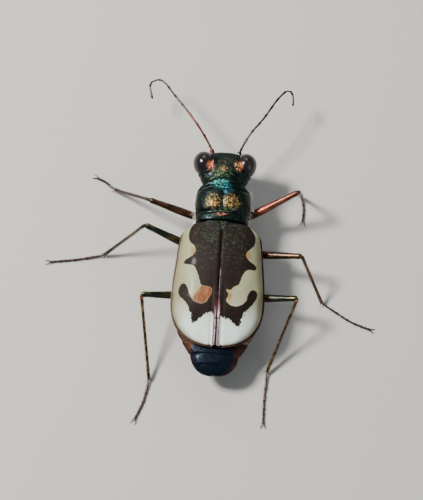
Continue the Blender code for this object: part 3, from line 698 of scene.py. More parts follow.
def makeJewel(name, patches, grain=0.1, greenShare=0.5, wrinkles=(0.2, 1.0, 1.0)):
    # Dark metallic cuticle: each patch is (centre, radii, main colour, second colour, strength)
    values = jewelValues
    material, tree, sockets = newMaterial(name, 0.34, 0.85, coat=0.08)
    place = objectPlace(tree)
    cells = useGroup(tree, granules, place=place, scale=1 / (grain * millimetre))
    broad = grainField(tree, place, 0.7, 4.0)
    colour = mixColour(tree, softStep(tree, broad, 0.38, 0.66), values["night"], values["blueBlack"])
    sparkle = product(tree, softStep(tree, cells["chance"], 0.45, 0.95), greenShare)
    colour = mixColour(tree, sparkle, colour, values["green"])
    for centre, radii, main, second, strength in patches:
        inverse = tuple(1 / (radius * millimetre) for radius in radii)
        mask = useGroup(tree, patch, place=place, centre=inFrame(centre), inverseSize=inverse,
                        ragged=1.1)["mask"]
        tone = mixColour(tree, softStep(tree, calc(tree, "FRACT", product(tree, cells["chance"], 7.0)),
                                        0.35, 0.75), values[main], values[second])
        # Painted glints: only some grains in each patch are bright, as if catching the light
        lit = spread(tree, softStep(tree, cells["chance"], 0.25, 0.85), 0.08, 1.0)
        share = product(tree, product(tree, mask, lit), strength)
        colour = mixColour(tree, share, colour, tone)
    # Painted shade: the gaps between the grains are darkened to near black
    colour = mixColour(tree, product(tree, cells["hollowShade"], 0.75), colour, values["night"])
    wear = useGroup(tree, handling, place=place, amount=0.15)
    gloss = total(tree, spread(tree, cells["chance"], 0.24, 0.42), wear["dull"])
    ridges = grainField(tree, stretched(tree, place, wrinkles), 0.08, 2.0)
    height = total(tree, cells["height"], product(tree, ridges, 0.9))
    finishSurface(tree, sockets, colour, gloss, total(tree, height, wear["scratch"]), 0.02, 0.9)
    return material


def barrel(name, stations, rings, facets, roundness, relief=None):
    # A ball whose rings are fitted, one by one, to (y, half width, top, middle, bottom) stations
    piece = startFrom(bpy.ops.mesh.primitive_uv_sphere_add, name, segments=facets, ring_count=rings,
                      radius=1, rotation=(math.radians(90), 0, 0))

    def fit(point):
        share = math.acos(max(min(-point.y, 1.0), -1.0)) / math.pi
        ring = math.hypot(point.x, point.z)
        inset = 0.5 / rings
        y, halfWidth, top, middle, bottom = smoothAt(stations, (share - inset) / (1 - 2 * inset))
        if ring < 1e-5:
            return Vector((0, y, (top + bottom) / 2))
        across = power(point.x / ring, 2 / roundness)
        up = power(point.z / ring, 2 / roundness)
        height = top - middle if up > 0 else middle - bottom
        place = Vector((across * halfWidth, y, middle + up * height))
        return relief(place, y, across, up) if relief else place

    return reshape(piece, fit)


prothoraxValues = {
    "stations": ((-3.10, 0.90, 4.20, 3.75, 3.20), (-3.20, 1.50, 4.62, 3.75, 2.85),
                 (-3.08, 1.68, 4.74, 3.73, 2.70), (-2.92, 1.88, 4.79, 3.70, 2.60),
                 (-2.62, 2.02, 4.81, 3.68, 2.50), (-2.15, 2.09, 4.92, 3.65, 2.35),
                 (-1.55, 2.10, 4.95, 3.62, 2.25), (-0.95, 2.04, 4.90, 3.60, 2.20),
                 (-0.50, 1.98, 4.84, 3.60, 2.25), (-0.20, 1.92, 4.72, 3.60, 2.40),
                 (-0.22, 1.00, 4.20, 3.60, 2.90)),
    "bow": 0.5, "frontFurrow": -2.62, "rearFurrow": -0.82, "furrowDepth": 0.17, "furrowWidth": 0.15,
}


def pronotumRelief(place, y, across, up):
    values = prothoraxValues
    upper = ramp(up, 0.0, 0.75)
    share = max(min((y + 0.2) / -3.0, 1.0), 0.0)
    arch = values["bow"] * share ** 1.5 * max(up, 0) * (1 - across ** 2)
    dip = 0.22 * bump(place.x, 0.55)
    furrows = bump(y - values["frontFurrow"] - dip * 0.6, values["furrowWidth"])
    furrows += bump(y - values["rearFurrow"] + dip * 0.3, values["furrowWidth"])
    middle = 0.07 * bump(place.x, 0.06) * ramp(y, -2.6, -2.3) * (1 - ramp(y, -1.1, -0.85))
    lobes = 0.07 * bump(abs(place.x) - 0.85, 0.5) * bump(y + 1.65, 0.6)
    height = lobes * upper - (values["furrowDepth"] * furrows + middle) * upper
    sideLine = 0.06 * bump(place.z - 3.95, 0.07) * (1 - upper * 0.3)
    wrinkles = rough((place.x * 1.0, place.y * 2.2, place.z), 0.28, 0.035)
    place = place + Vector((-across * sideLine, -arch, height + wrinkles * upper))
    place.x += across * rough(place, 0.5, 0.03, 3.0)
    return place


def makeProthorax():
    piece = barrel("prothorax", prothoraxValues["stations"], 84, 96, 2.2, pronotumRelief)
    # The gold and copper patches on the two lobes are partly the real metal colour and partly painted
    # highlights where the light falls on the lobes
    patches = [((0.72, -1.60, 4.95), (0.72, 0.66, 0.9), "gold", "bronze", 0.75),
               ((0.76, -1.38, 4.95), (0.36, 0.30, 0.9), "copper", "bronze", 0.75),
               ((-0.70, -1.62, 4.95), (0.76, 0.68, 0.9), "gold", "bronze", 0.95),
               ((-0.86, -1.85, 4.95), (0.30, 0.26, 0.9), "copper", "rose", 0.6),
               ((0.18, -3.05, 4.75), (0.80, 0.46, 0.8), "turquoise", "teal", 0.95),
               ((-0.28, -2.72, 4.75), (0.42, 0.50, 0.8), "deepBlue", "teal", 0.9),
               ((0.0, -1.0, 4.8), (1.1, 0.2, 0.6), "lime", "teal", 0.45),
               ((0.10, -0.62, 4.8), (0.55, 0.13, 0.5), "rose", "copper", 1.0)]
    material = makeJewel("pronotum_jewel", patches)
    return settle(piece, "prothoraxShell", material, ["prothorax"])


scutellumValues = {"halfWidth": 0.55, "length": 0.85, "top": 5.06, "bottom": 4.5}


def makeScutellum():
    values = scutellumValues
    piece = startFrom(bpy.ops.mesh.primitive_circle_add, "scutellum", vertices=3, radius=1, fill_type="NGON",
                      location=(0, 0, values["bottom"]))
    corners = [(0, values["length"]), (-values["halfWidth"], 0), (values["halfWidth"], 0)]
    for vertex, (x, y) in zip(sorted(piece.data.vertices, key=lambda v: (-v.co.y, v.co.x)), corners):
        vertex.co = (x, y, values["bottom"])
    enterEdit()
    pullOut((0, 0, values["top"] - values["bottom"]))
    bpy.ops.mesh.inset(thickness=0.09, depth=-0.03)
    leaveEdit()
    finishWith(piece, "BEVEL", width=0.05, segments=3)
    material = makeJewel("scutellum_jewel", [((0, 0.2, 5.0), (0.5, 0.4, 0.4), "green", "bronze", 0.4)])
    return settle(piece, "scutellumPlate", material, ["scutellum"])


headValues = {
    "stations": ((-2.85, 0.80, 4.20, 3.70, 3.20), (-2.90, 1.38, 4.45, 3.70, 2.95),
                 (-3.35, 1.66, 4.60, 3.66, 2.55), (-3.80, 1.86, 4.69, 3.63, 2.32),
                 (-4.25, 1.96, 4.72, 3.60, 2.15), (-4.90, 1.78, 4.68, 3.55, 1.98),
                 (-5.40, 1.50, 4.54, 3.50, 2.05), (-5.72, 1.28, 4.32, 3.40, 2.25),
                 (-5.88, 0.98, 4.00, 3.35, 2.60), (-5.92, 0.50, 3.70, 3.30, 2.95)),
    "browRoute": ((0.90, -5.62, 4.20), (0.80, -5.2, 4.52), (0.84, -4.8, 4.66), (1.0, -4.42, 4.66),
                  (1.32, -4.08, 4.5)),
    "browHeight": 0.11, "browWidth": 0.10, "eyeCentre": (1.61, -4.95, 3.78), "eyeRadii": (0.82, 0.93, 0.97),
    "rimHeight": 0.07, "rimWidth": 0.09, "antennaRoot": (0.95, -5.5, 3.05),
}
browRoutes = {side: smoothRoute([mirrored(p, side) for p in headValues["browRoute"]], 24) for side in (1, -1)}


def headRelief(place, y, across, up):
    values = headValues
    side = 1 if place.x >= 0 else -1
    outward = Vector((across, 0.0, up)).normalized() if abs(across) + abs(up) > 0 else Vector((0, -1, 0))
    near = min((place - spot).length for spot in browRoutes[side])
    height = values["browHeight"] * bump(near, values["browWidth"])
    eye = mirrored(values["eyeCentre"], side)
    offset = place - eye
    reach = Vector([offset[i] / values["eyeRadii"][i] for i in range(3)]).length
    height += values["rimHeight"] * bump((reach - 1.06) * 0.85, values["rimWidth"])
    height -= 0.12 * bump(place.x, 0.62) * bump(y + 5.2, 0.5) * max(up, 0)
    height -= 0.10 * bump(y + 5.62, 0.07) * bump(place.z - 3.2, 0.6)
    root = mirrored(values["antennaRoot"], side)
    fromRoot = (place - root).length
    height += 0.07 * bump(fromRoot - 0.30, 0.07) - 0.18 * bump(fromRoot, 0.17)
    stripes = math.sin(place.x * 34) * 0.012 * ramp(abs(place.x), 0.35, 0.6) * max(up, 0) * bump(y + 4.9, 0.8)
    neck = 0.05 * bump(y + 3.3, 0.2) * max(up, 0)
    return place + outward * (height + stripes - neck + rough(place, 0.22, 0.025))


def makeHead():
    values = headValues
    capsule = barrel("capsule", values["stations"], 110, 120, 2.3, headRelief)
    faceplate = startFrom(bpy.ops.mesh.primitive_uv_sphere_add, "faceplate", segments=40, ring_count=24,
                          radius=1, scale=(0.97, 0.36, 0.36), location=(0, -5.62, 2.66))

    def flatten(point):
        point.z += 0.10 * point.x ** 2
        point.y += 0.18 * point.x ** 2 + 0.06 * bump(point.z - 2.72, 0.05)
        return point

    reshape(faceplate, flatten)
    chin = startFrom(bpy.ops.mesh.primitive_cube_add, "chin", size=1, scale=(1.5, 0.7, 0.22),
                     location=(0, -4.05, 2.02))
    finishWith(chin, "BEVEL", width=0.09, segments=3)
    piece = joinAll([capsule, faceplate, chin], "head")
    patches = [((0.05, -4.10, 4.7), (0.80, 0.60, 0.7), "lime", "green", 0.4),
               ((0.05, -5.00, 4.7), (0.75, 0.50, 0.7), "bronze", "green", 0.3),
               ((0.05, -4.32, 4.7), (0.34, 0.22, 0.6), "rose", "bronze", 0.7),
               # Copper rims beside the eyes: partly the real copper of the plates, partly painted reflections
               # of the light
               ((1.06, -4.62, 4.62), (0.34, 0.52, 0.5), "copper", "rose", 1.0),
               ((-1.06, -4.66, 4.62), (0.34, 0.56, 0.5), "copper", "gold", 1.0),
               ((0.5, -3.45, 4.7), (0.8, 0.2, 0.5), "lime", "green", 0.5)]
    material = makeJewel("head_jewel", patches, grain=0.085, greenShare=0.45, wrinkles=(1.0, 0.2, 1.0))
    return settle(piece, "headCapsule", material, ["head"])


def makeEyeMaterial():
    material, tree, sockets = newMaterial("dark_eye", 0.16, 0.0, coat=0.2, specular=0.35)
    place = objectPlace(tree)
    facets = addNode(tree, "ShaderNodeTexVoronoi", feature="F1")
    feed(tree, facets.inputs["Vector"], place)
    facets.inputs["Scale"].default_value = 1 / (0.035 * millimetre)
    bands = grainField(tree, stretched(tree, place, (1.0, 0.5, 1.4)), 0.5, 3.0)
    colour = mixColour(tree, softStep(tree, bands, 0.35, 0.7), (0.006, 0.004, 0.006), (0.020, 0.010, 0.010))
    # Painted reflection: an orange-red patch on the inner side of each eye
    for side in sides.values():
        centre = inFrame(mirrored((1.08, -4.62, 4.52), side))
        paintedReflection = useGroup(tree, patch, place=place, centre=centre, inverseSize=(3000, 2600, 2600), ragged=0.6)
        colour = mixColour(tree, paintedReflection["mask"], colour, (0.52, 0.13, 0.04))
    gloss = spread(tree, bands, 0.16, 0.28)
    finishSurface(tree, sockets, colour, gloss, facets.outputs["Distance"], 0.004, 0.35)
    return material


def makeEyes():
    material = makeEyeMaterial()
    values = headValues
    for sideName, side in sides.items():
        centre = mirrored(values["eyeCentre"], side)
        eye = startFrom(bpy.ops.mesh.primitive_uv_sphere_add, "eye", segments=56, ring_count=36, radius=1,
                        scale=values["eyeRadii"], location=centre)

        def swell(point, centre=centre):
            offset = point - centre
            offset.x *= 1.0 - 0.05 * offset.y
            return centre + offset

        reshape(eye, swell)
        settle(eye, "eye" + sideName.capitalize(), material, ["eye_" + sideName])


makeProthorax()
makeScutellum()
makeHead()
makeEyes()
print("prothorax, scutellum, head and eyes done")


# Mouthparts

mouthValues = {
    "labrumHalfWidth": 0.93, "labrumTop": 2.35, "labrumBottom": 1.5, "labrumFront": -5.93, "labrumThick": 0.2,
    "mandibleRoute": ((1.0, -4.93, 2.25), (1.22, -4.93, 1.75), (1.12, -4.95, 1.25), (0.6, -4.93, 0.8),
                      (-0.1, -4.93, 0.55)),
    "maxillaryRoute": ((0.95, -4.1, 2.2), (1.25, -4.1, 1.6), (1.38, -4.2, 1.1), (1.2, -4.4, 0.65)),
    "labialRoute": ((0.38, -3.85, 2.25), (0.42, -3.9, 1.7), (0.5, -4.1, 1.2), (0.45, -4.35, 0.8)),
}
labrumEdge = ((-1.0, 0.35), (-0.78, 0.2), (-0.62, 0.14), (-0.5, -0.05), (-0.38, 0.1), (-0.12, 0.06),
              (0.0, -0.12), (0.12, 0.06), (0.38, 0.1), (0.5, -0.05), (0.62, 0.14), (0.78, 0.2), (1.0, 0.35))


def makeIvory(name, darkCentre, darkSize):
    # Pale horn that turns brown-black near the teeth
    material, tree, sockets = newMaterial(name, 0.3, 0.0, coat=0.4)
    place = objectPlace(tree)
    streak = grainField(tree, stretched(tree, place, (1.0, 1.0, 0.25)), 0.12, 4.0)
    colour = mixColour(tree, softStep(tree, streak, 0.35, 0.7), (0.72, 0.64, 0.46), (0.56, 0.44, 0.26))
    inverse = tuple(1 / (size * millimetre) for size in darkSize)
    mask = useGroup(tree, patch, place=place, centre=inFrame(darkCentre), inverseSize=inverse,
                    ragged=0.4)["mask"]
    brown = mixColour(tree, softStep(tree, streak, 0.3, 0.6), (0.05, 0.018, 0.010), (0.014, 0.006, 0.006))
    colour = mixColour(tree, mask, colour, brown)
    finishSurface(tree, sockets, colour, spread(tree, streak, 0.22, 0.4), streak, 0.008, 0.6)
    return material


def makeLabrum():
    values = mouthValues
    height = values["labrumTop"] - values["labrumBottom"]
    outline = [(x * values["labrumHalfWidth"],
                values["labrumBottom"] + lift * height) for x, lift in labrumEdge]
    for x in (1.0, 0.5, 0.0, -0.5, -1.0):
        outline.append((x * values["labrumHalfWidth"] * 0.92, values["labrumTop"]))
    plate = startFrom(bpy.ops.mesh.primitive_circle_add, "labrum", vertices=len(outline), radius=1,
                      fill_type="NGON", rotation=(math.radians(90), 0, 0))
    for vertex, (x, z) in zip(plate.data.vertices, outline):
        vertex.co = (x, values["labrumFront"], z)
    enterEdit()
    pullOut((0, values["labrumThick"], 0))
    leaveEdit()
    finishWith(plate, "BEVEL", width=0.035, segments=2)
    finishWith(plate, "TRIANGULATE")
    makeActive(plate)
    enterEdit()
    bpy.ops.mesh.subdivide(number_cuts=2)
    bpy.ops.object.mode_set(mode="OBJECT")

    def bow(point):
        lean = 0.35 * (point.z - values["labrumBottom"]) / 0.85
        crease = 0.05 * bump(point.x, 0.25) * bump(point.z - 2.0, 0.3)
        return Vector((point.x, point.y + 0.25 * point.x ** 2 + 0.3 - lean * 0.4 - crease, point.z))

    reshape(plate, bow)
    material = makeIvory("ivory_labrum", (0, -5.7, 1.35), (1.3, 0.8, 0.3))
    return settle(plate, "labrumPlate", material, ["labrum"], 50)


def makeMandibles():
    values = mouthValues
    sickle = turned("sickle", [(0.0, 0.30), (0.08, 0.31), (0.2, 0.29), (0.34, 0.26), (0.48, 0.23),
                               (0.62, 0.19), (0.76, 0.14), (0.88, 0.09), (0.96, 0.05), (1.0, 0.02)], 20)
    tooth = turned("tooth", [(0.0, 0.13), (0.3, 0.12), (0.6, 0.085), (0.85, 0.045), (1.0, 0.012)], 12)
    for sideName, side in sides.items():
        depth = -0.14 if side > 0 else 0.15     # one blade crosses in front of the other
        route = [Vector((x * side, y + depth * min(max((2.0 - z) / 1.2, 0), 1), z))
                 for x, y, z in smoothRoute(values["mandibleRoute"], 24)]
        blade = layAlong(copyOf(sickle), route, (0, 1, 0))
        teeth = []
        for rootShare, tipShift, girth in ((0.5, (-0.55, 0.0, -0.02), 1.15), (0.62, (-0.42, 0.0, 0.1), 1.0),
                                           (0.74, (-0.24, 0.0, 0.16), 0.75)):
            root = cutRoute(route, rootShare, rootShare + 0.01, 2)[0]
            tip = root + Vector((side * tipShift[0], tipShift[1], tipShift[2]))
            teeth.append(copyOf(tooth, standing(root, tip, girth)))
        piece = joinAll([blade] + teeth, "mandible")
        material = makeIvory("ivory_mandible_" + sideName, (0.0, -4.95, 0.55), (1.45, 0.95, 0.95))
        settle(piece, "mandible" + sideName.capitalize(), material, ["mandible_" + sideName])
    discard(sickle, tooth)


def makePalps(material):
    values = mouthValues
    joint = turned("palpJoint", [(0.0, 0.055), (0.06, 0.075), (0.25, 0.09), (0.6, 0.105), (0.88, 0.12),
                                 (0.97, 0.10), (1.0, 0.06)], 12)
    for kind, ends in (("maxillary", (0.0, 0.12, 0.44, 0.68, 1.0)), ("labial", (0.0, 0.16, 0.66, 1.0))):
        for sideName, side in sides.items():
            route = [mirrored(spot, side) for spot in smoothRoute(values[kind + "Route"], 30)]
            pieces = []
            for start, end in zip(ends, ends[1:]):
                link = copyOf(joint, Matrix.Diagonal((1.1, 1.1, 1, 1)))
                pieces.append(layAlong(link, cutRoute(route, start, end), (0, 1, 0)))
            piece = joinAll(pieces, kind)
            settle(piece, kind + "Palp" + sideName.capitalize(), material,
                   [kind + "_palp_" + sideName])
    discard(joint)


# Limbs and feelers

def makeLimbMaterial(name, tones, dashes):
    # Dark metallic shaft with broken glints along it; tones are dark, main and two glint colours
    material, tree, sockets = newMaterial(name, 0.3, 0.85, coat=0.1)
    place = objectPlace(tree)
    broad = grainField(tree, place, 0.8, 3.0)
    streak = shaftStreaks(tree, dashes)
    cells = useGroup(tree, granules, place=place, scale=1 / (0.06 * millimetre))
    colour = mixColour(tree, softStep(tree, broad, 0.38, 0.62), tones[0], tones[1])
    longStreak = shaftStreaks(tree, dashes * 0.5, 0.9)
    shine = mixColour(tree, softStep(tree, longStreak, 0.44, 0.56), tones[2], tones[3])
    glint = product(tree, softStep(tree, streak, 0.50, 0.64), spread(tree, cells["chance"], 0.35, 0.9))
    colour = mixColour(tree, glint, colour, shine)
    gloss = wornGloss(tree, place, streak, 0.2, 0.38, 0.12)
    finishSurface(tree, sockets, colour, gloss, cells["height"], 0.012, 0.7)
    return material


limbTones = {
    "bronze": ((0.020, 0.012, 0.010), (0.060, 0.030, 0.018), (0.42, 0.26, 0.10), (0.30, 0.10, 0.06)),
    "copper": ((0.040, 0.012, 0.009), (0.150, 0.045, 0.025), (0.80, 0.34, 0.20), (0.45, 0.12, 0.07)),
    "green": ((0.008, 0.012, 0.009), (0.018, 0.028, 0.016), (0.16, 0.22, 0.09), (0.24, 0.15, 0.06)),
    "gold": ((0.018, 0.014, 0.008), (0.060, 0.045, 0.016), (0.50, 0.46, 0.14), (0.50, 0.14, 0.08)),
    "purple": ((0.018, 0.010, 0.012), (0.048, 0.022, 0.024), (0.20, 0.11, 0.10), (0.12, 0.10, 0.11)),
    "grey": ((0.014, 0.011, 0.012), (0.034, 0.026, 0.028), (0.13, 0.11, 0.11), (0.10, 0.07, 0.07)),
}
limbDashes = {"bronze": 2.2, "copper": 1.6, "green": 1.8, "gold": 16.0, "purple": 4.0, "grey": 6.0}
limbMaterials = {}
for key, tones in limbTones.items():
    limbMaterials[key] = makeLimbMaterial("limb_" + key, tones, limbDashes[key])

legValues = {
    "femurProfile": ((0.0, 0.14), (0.015, 0.18), (0.06, 0.235), (0.16, 0.29), (0.32, 0.315), (0.52, 0.295),
                     (0.72, 0.25), (0.88, 0.215), (0.95, 0.225), (0.985, 0.185), (1.0, 0.09)),
    "tibiaProfile": ((0.0, 0.06), (0.012, 0.12), (0.035, 0.15), (0.07, 0.13), (0.14, 0.118), (0.5, 0.115),
                     (0.82, 0.12), (0.94, 0.142), (0.985, 0.135), (1.0, 0.07)),
    "tarsusProfile": ((0.0, 0.055), (0.05, 0.065), (0.3, 0.074), (0.75, 0.09), (0.93, 0.104), (0.98, 0.09),
                      (1.0, 0.045)),
    "tarsusEnds": (0.0, 0.36, 0.57, 0.73, 0.84, 1.0), "soleHeight": 0.11, "ankleHeight": 0.27,
    "spurProfile": ((0.0, 0.035), (0.4, 0.03), (0.8, 0.016), (1.0, 0.005)),
    "clawProfile": ((0.0, 0.04), (0.3, 0.036), (0.6, 0.027), (0.85, 0.014), (1.0, 0.004)),
    "clawRoute": ((-0.05, 0.02, 0), (0.14, 0.12, 0.03), (0.3, 0.17, -0.03), (0.40, 0.17, -0.08)),
}
coxaRadii = {"front": (0.55, 0.6, 0.62), "mid": (0.6, 0.52, 0.5), "hind": (0.85, 0.45, 0.42)}

# Hip, knee, ankle, bend of the foot and toe, as the solids have them
legs = {
    "front_left": {"joints": ((1.3, -1.0, 1.95), (5.6, -1.85, 3.6), (8.4, -3.65, 0.42), (9.2, -4.3, 0.2),
                              (9.85, -4.6, 0.2)), "femur": "bronze", "tibia": "purple", "tarsus": "purple"},
    "front_right": {"joints": ((-1.3, -1.0, 1.95), (-5.7, -2.9, 4.3), (-6.1, -3.9, 0.42), (-6.3, -2.9, 0.2),
                               (-6.25, -2.0, 0.2)), "femur": "copper", "tibia": "bronze", "tarsus": "purple"},
    "mid_left": {"joints": ((1.4, 1.5, 1.75), (5.8, 0.25, 3.8), (8.9, 1.7, 0.42), (11.0, 2.15, 0.2),
                            (13.0, 2.45, 0.2)), "femur": "green", "tibia": "green", "tarsus": "purple"},
    "mid_right": {"joints": ((-1.4, 1.5, 1.75), (-6.2, 2.05, 3.8), (-8.0, 4.6, 0.42), (-10.35, 5.95, 0.2),
                             (-11.8, 6.45, 0.2)), "femur": "bronze", "tibia": "bronze", "tarsus": "purple"},
    "hind_left": {"joints": ((1.45, 5.0, 1.7), (5.75, 5.75, 3.8), (4.85, 11.4, 0.42), (5.2, 13.15, 0.2),
                             (5.75, 14.5, 0.2)), "femur": "green", "tibia": "gold", "tarsus": "purple"},
    "hind_right": {"joints": ((-1.45, 5.0, 1.7), (-6.0, 5.4, 3.8), (-4.05, 10.3, 0.42), (-3.95, 12.5, 0.2),
                              (-3.95, 14.3, 0.2)), "femur": "green", "tibia": "gold", "tarsus": "purple"},
}


def legJoints(leg):
    # The fine leg is thinner than its solid, so its foot comes lower to stand on the floor
    hip, knee, ankle, bend, toe = (Vector(point) for point in legs[leg]["joints"])
    ankle.z = legValues["ankleHeight"]
    bend.z = legValues["soleHeight"]
    toe.z = legValues["soleHeight"]
    return hip, knee, ankle, bend, toe


def makeLegs():
    values = legValues
    femurShape = turned("femurShape", values["femurProfile"], 20)
    tibiaShape = turned("tibiaShape", values["tibiaProfile"], 16)
    tarsusShape = turned("tarsusShape", values["tarsusProfile"], 12)
    spurShape = turned("spurShape", values["spurProfile"], 8)
    clawShape = turned("clawShape", values["clawProfile"], 8)
    beanShape = startFrom(bpy.ops.mesh.primitive_uv_sphere_add, "beanShape", segments=20, ring_count=12,
                          radius=1)
    markShaft(beanShape)
    for leg, look in legs.items():
        hip, knee, ankle, bend, toe = legJoints(leg)
        side = 1 if hip.x > 0 else -1
        pair, sideName = leg.split("_")
        label = pair.capitalize() + sideName.capitalize()

        radii = coxaRadii[pair]
        centre = Vector((hip.x - 0.4 * side, hip.y, hip.z))
        coxa = startFrom(bpy.ops.mesh.primitive_uv_sphere_add, "coxa", segments=32, ring_count=20, radius=1)
        reshape(coxa, lambda p: centre + Vector((p.x * radii[0], p.y * radii[1], p.z * radii[2]))
                * (1 + 0.04 * math.sin(5 * p.x + 3 * p.z)))
        settle(coxa, "coxa" + label, limbMaterials["bronze"], ["coxa_" + leg])

        along = (knee - hip).normalized()
        femur = copyOf(femurShape, standing(hip + along * 0.12, knee))
        bean = copyOf(beanShape, standing(hip - along * 0.15, hip + along * 0.24, 0.24))
        piece = joinAll([femur, bean], "femur")
        settle(piece, "femur" + label, limbMaterials[look["femur"]], ["femur_" + leg])

        shin = (ankle - knee).normalized()
        across = shin.cross(Vector((0, 0, 1))).normalized()
        parts = [copyOf(tibiaShape, standing(knee - shin * 0.02, ankle))]
        for turn in (-1, 1):
            root = ankle - shin * 0.06 + across * 0.07 * turn
            tip = root + shin * 0.28 + across * 0.22 * turn + Vector((0, 0, 0.03))
            parts.append(copyOf(spurShape, standing(root, tip)))
        piece = joinAll(parts, "tibia")
        settle(piece, "tibia" + label, limbMaterials[look["tibia"]], ["tibia_" + leg])

        route = smoothRoute([ankle, ankle.lerp(bend, 0.35) + Vector((0, 0, -0.05)), bend, toe], 40)
        parts = []
        for start, end in zip(values["tarsusEnds"], values["tarsusEnds"][1:]):
            parts.append(layAlong(copyOf(tarsusShape), cutRoute(route, start, end)))
        forward = (toe - bend).normalized()
        sideways = Vector((-forward.y, forward.x, 0))
        for turn in (-1, 1):
            claw = [toe + forward * ahead + sideways * out * turn + Vector((0, 0, up))
                    for ahead, out, up in values["clawRoute"]]
            parts.append(layAlong(copyOf(clawShape), smoothRoute(claw, 10)))
        piece = joinAll(parts, "tarsus")
        settle(piece, "tarsus" + label, limbMaterials[look["tarsus"]], ["tarsus_" + leg])
    discard(femurShape, tibiaShape, tarsusShape, spurShape, clawShape, beanShape)


antennaValues = {
    "left": ((0.95, -5.5, 3.05), (1.1, -6.3, 3.35), (1.98, -7.65, 3.8), (3.0, -9.0, 3.9),
             (4.2, -10.5, 3.65), (5.2, -11.75, 3.3), (6.1, -11.6, 3.0), (5.9, -10.4, 2.8)),
    "right": ((-0.95, -5.5, 3.05), (-1.15, -6.35, 3.35), (-1.8, -7.55, 3.8), (-2.8, -8.9, 3.9),
              (-3.8, -10.6, 3.7), (-4.55, -11.5, 3.3), (-4.95, -11.2, 3.1), (-5.0, -10.4, 2.95)),
    "scapeShare": 0.09, "pedicelShare": 0.035, "joints": 11, "tone": {"left": "copper", "right": "purple"},
}


def makeAntennae():
    values = antennaValues
    scapeShape = turned("scapeShape", [(0.0, 0.08), (0.08, 0.12), (0.2, 0.145), (0.5, 0.17), (0.8, 0.185),
                                       (0.95, 0.15), (1.0, 0.08)], 16)
    jointShape = turned("jointShape", [(0.0, 0.055), (0.04, 0.072), (0.15, 0.082), (0.6, 0.096), (0.9, 0.118),
                                       (0.97, 0.10), (1.0, 0.055)], 12)
    for sideName in sides:
        route = smoothRoute(values[sideName], 120)
        ends = [0.0, values["scapeShare"], values["scapeShare"] + values["pedicelShare"]]
        longShare = (1 - ends[-1]) / (values["joints"] - 2)
        while len(ends) <= values["joints"]:
            ends.append(ends[-1] + longShare)
        basal = []
        distal = []
        for index, (start, end) in enumerate(zip(ends, ends[1:])):
            shape = scapeShape if index == 0 else jointShape
            girth = 1.0 - 0.2 * index / values["joints"]
            joint = copyOf(shape, Matrix.Diagonal((girth, girth, 1, 1)))
            layAlong(joint, cutRoute(route, start, min(end + 0.002, 1.0), 9))
            (basal if index < 5 else distal).append(joint)
        label = sideName.capitalize()
        settle(joinAll(basal, "basal"), "antennaBase" + label, limbMaterials[values["tone"][sideName]],
               ["antenna_" + sideName])
        settle(joinAll(distal, "distal"), "antennaTip" + label, limbMaterials["grey"],
               ["antenna_" + sideName])
    discard(scapeShape, jointShape)


makeLabrum()
makeMandibles()
makePalps(limbMaterials["purple"])
print("mouthparts done")
makeLegs()
makeAntennae()
print("legs and antennae done")


# Underside and abdomen

trunkValues = {
    "innerWall": 0.7, "shelfInset": 0.25, "spreadStart": 0.78, "shelfSpread": 0.6, "sag": 0.42, "belly": 1.7,
    "waist": 2.3, "bellyRoundness": 1.9, "thoraxSeams": (-0.02, 2.4, 4.92),
    "abdomenSeams": (5.05, 5.98, 6.9, 7.83, 8.92), "plateStep": 0.09, "rings": 84,
    "peduncle": ((-0.70, 1.20, 4.30, 3.60, 2.80), (-0.50, 1.60, 4.50, 3.60, 2.60),
                 (-0.10, 1.76, 4.58, 3.60, 2.50), (0.25, 1.80, 4.55, 3.60, 2.45),
                 (0.40, 1.30, 4.20, 3.60, 2.80)),
}


def trunkPlace(y, turn, swell):
    # A point of the trunk: turn goes once round from the middle of the back
    values = trunkValues
    share = max(y, 0.0) / elytraValues["length"]
    outer = elytraHalfWidth(share)
    margin = elytraMargin(share)
    waist = max(1 - y / 1.6, 0.0) ** 1.5
    flare = max((share - values["spreadStart"]) / 0.17, 0.0) ** 1.5
    belly = (outer - values["shelfInset"] + values["shelfSpread"] * flare) * (1 - 0.3 * waist)
    shelf = margin - solidGap - values["sag"] * flare
    bottom = values["belly"] + (values["waist"] - values["belly"]) * waist + 0.1 * share
    bottom -= values["plateStep"] * swell
    across, up = math.sin(turn), math.cos(turn)
    if up >= 0:
        crown = max(elytraTop(share) - values["innerWall"] - margin, 0.05)
        return Vector((max(outer - values["innerWall"], 0.3) * power(across, 2 / 2.4), y,
                       margin + crown * up ** (2 / 2.4)))
    down = (-up) ** (2 / values["bellyRoundness"])
    return Vector((belly * power(across, 2 / values["bellyRoundness"]), y, shelf - (shelf - bottom) * down))


def makeTrunk(name, seams, material, node, neck=None):
    rings = trunkValues["rings"]
    piece = startFrom(bpy.ops.mesh.primitive_uv_sphere_add, name, segments=88, ring_count=rings, radius=1,
                      rotation=(math.radians(90), 0, 0))

    def fit(point):
        share = math.acos(max(min(-point.y, 1.0), -1.0)) / math.pi
        inset = 1.0 / rings
        t = min(max((share - inset) / (1 - 2 * inset), 0.0), 1.0)
        y = seams[0] + (seams[-1] - seams[0]) * t
        index = max(i for i in range(len(seams) - 1) if seams[i] <= y + 1e-6)
        plate = (y - seams[index]) / (seams[index + 1] - seams[index])
        turn = math.atan2(point.x, point.z)
        if math.hypot(point.x, point.z) < 1e-5:
            return Vector((0, y, 2.9))
        place = trunkPlace(y, turn, plate)
        crease = bump(y - seams[index], 0.05) + bump(y - seams[index + 1], 0.05)
        if point.z < 0:
            place.z += 0.05 * crease + 0.05 * bump(place.x, 0.07) - rough(place, 0.4, 0.03)
            place.x -= math.copysign(0.06 * bump(place.z - 2.55, 0.08), place.x)
        return place

    reshape(piece, fit)
    if neck:
        piece = joinAll([piece, barrel("peduncle", neck, 24, 48, 2.2)], name)
    return settle(piece, name, material, [node])


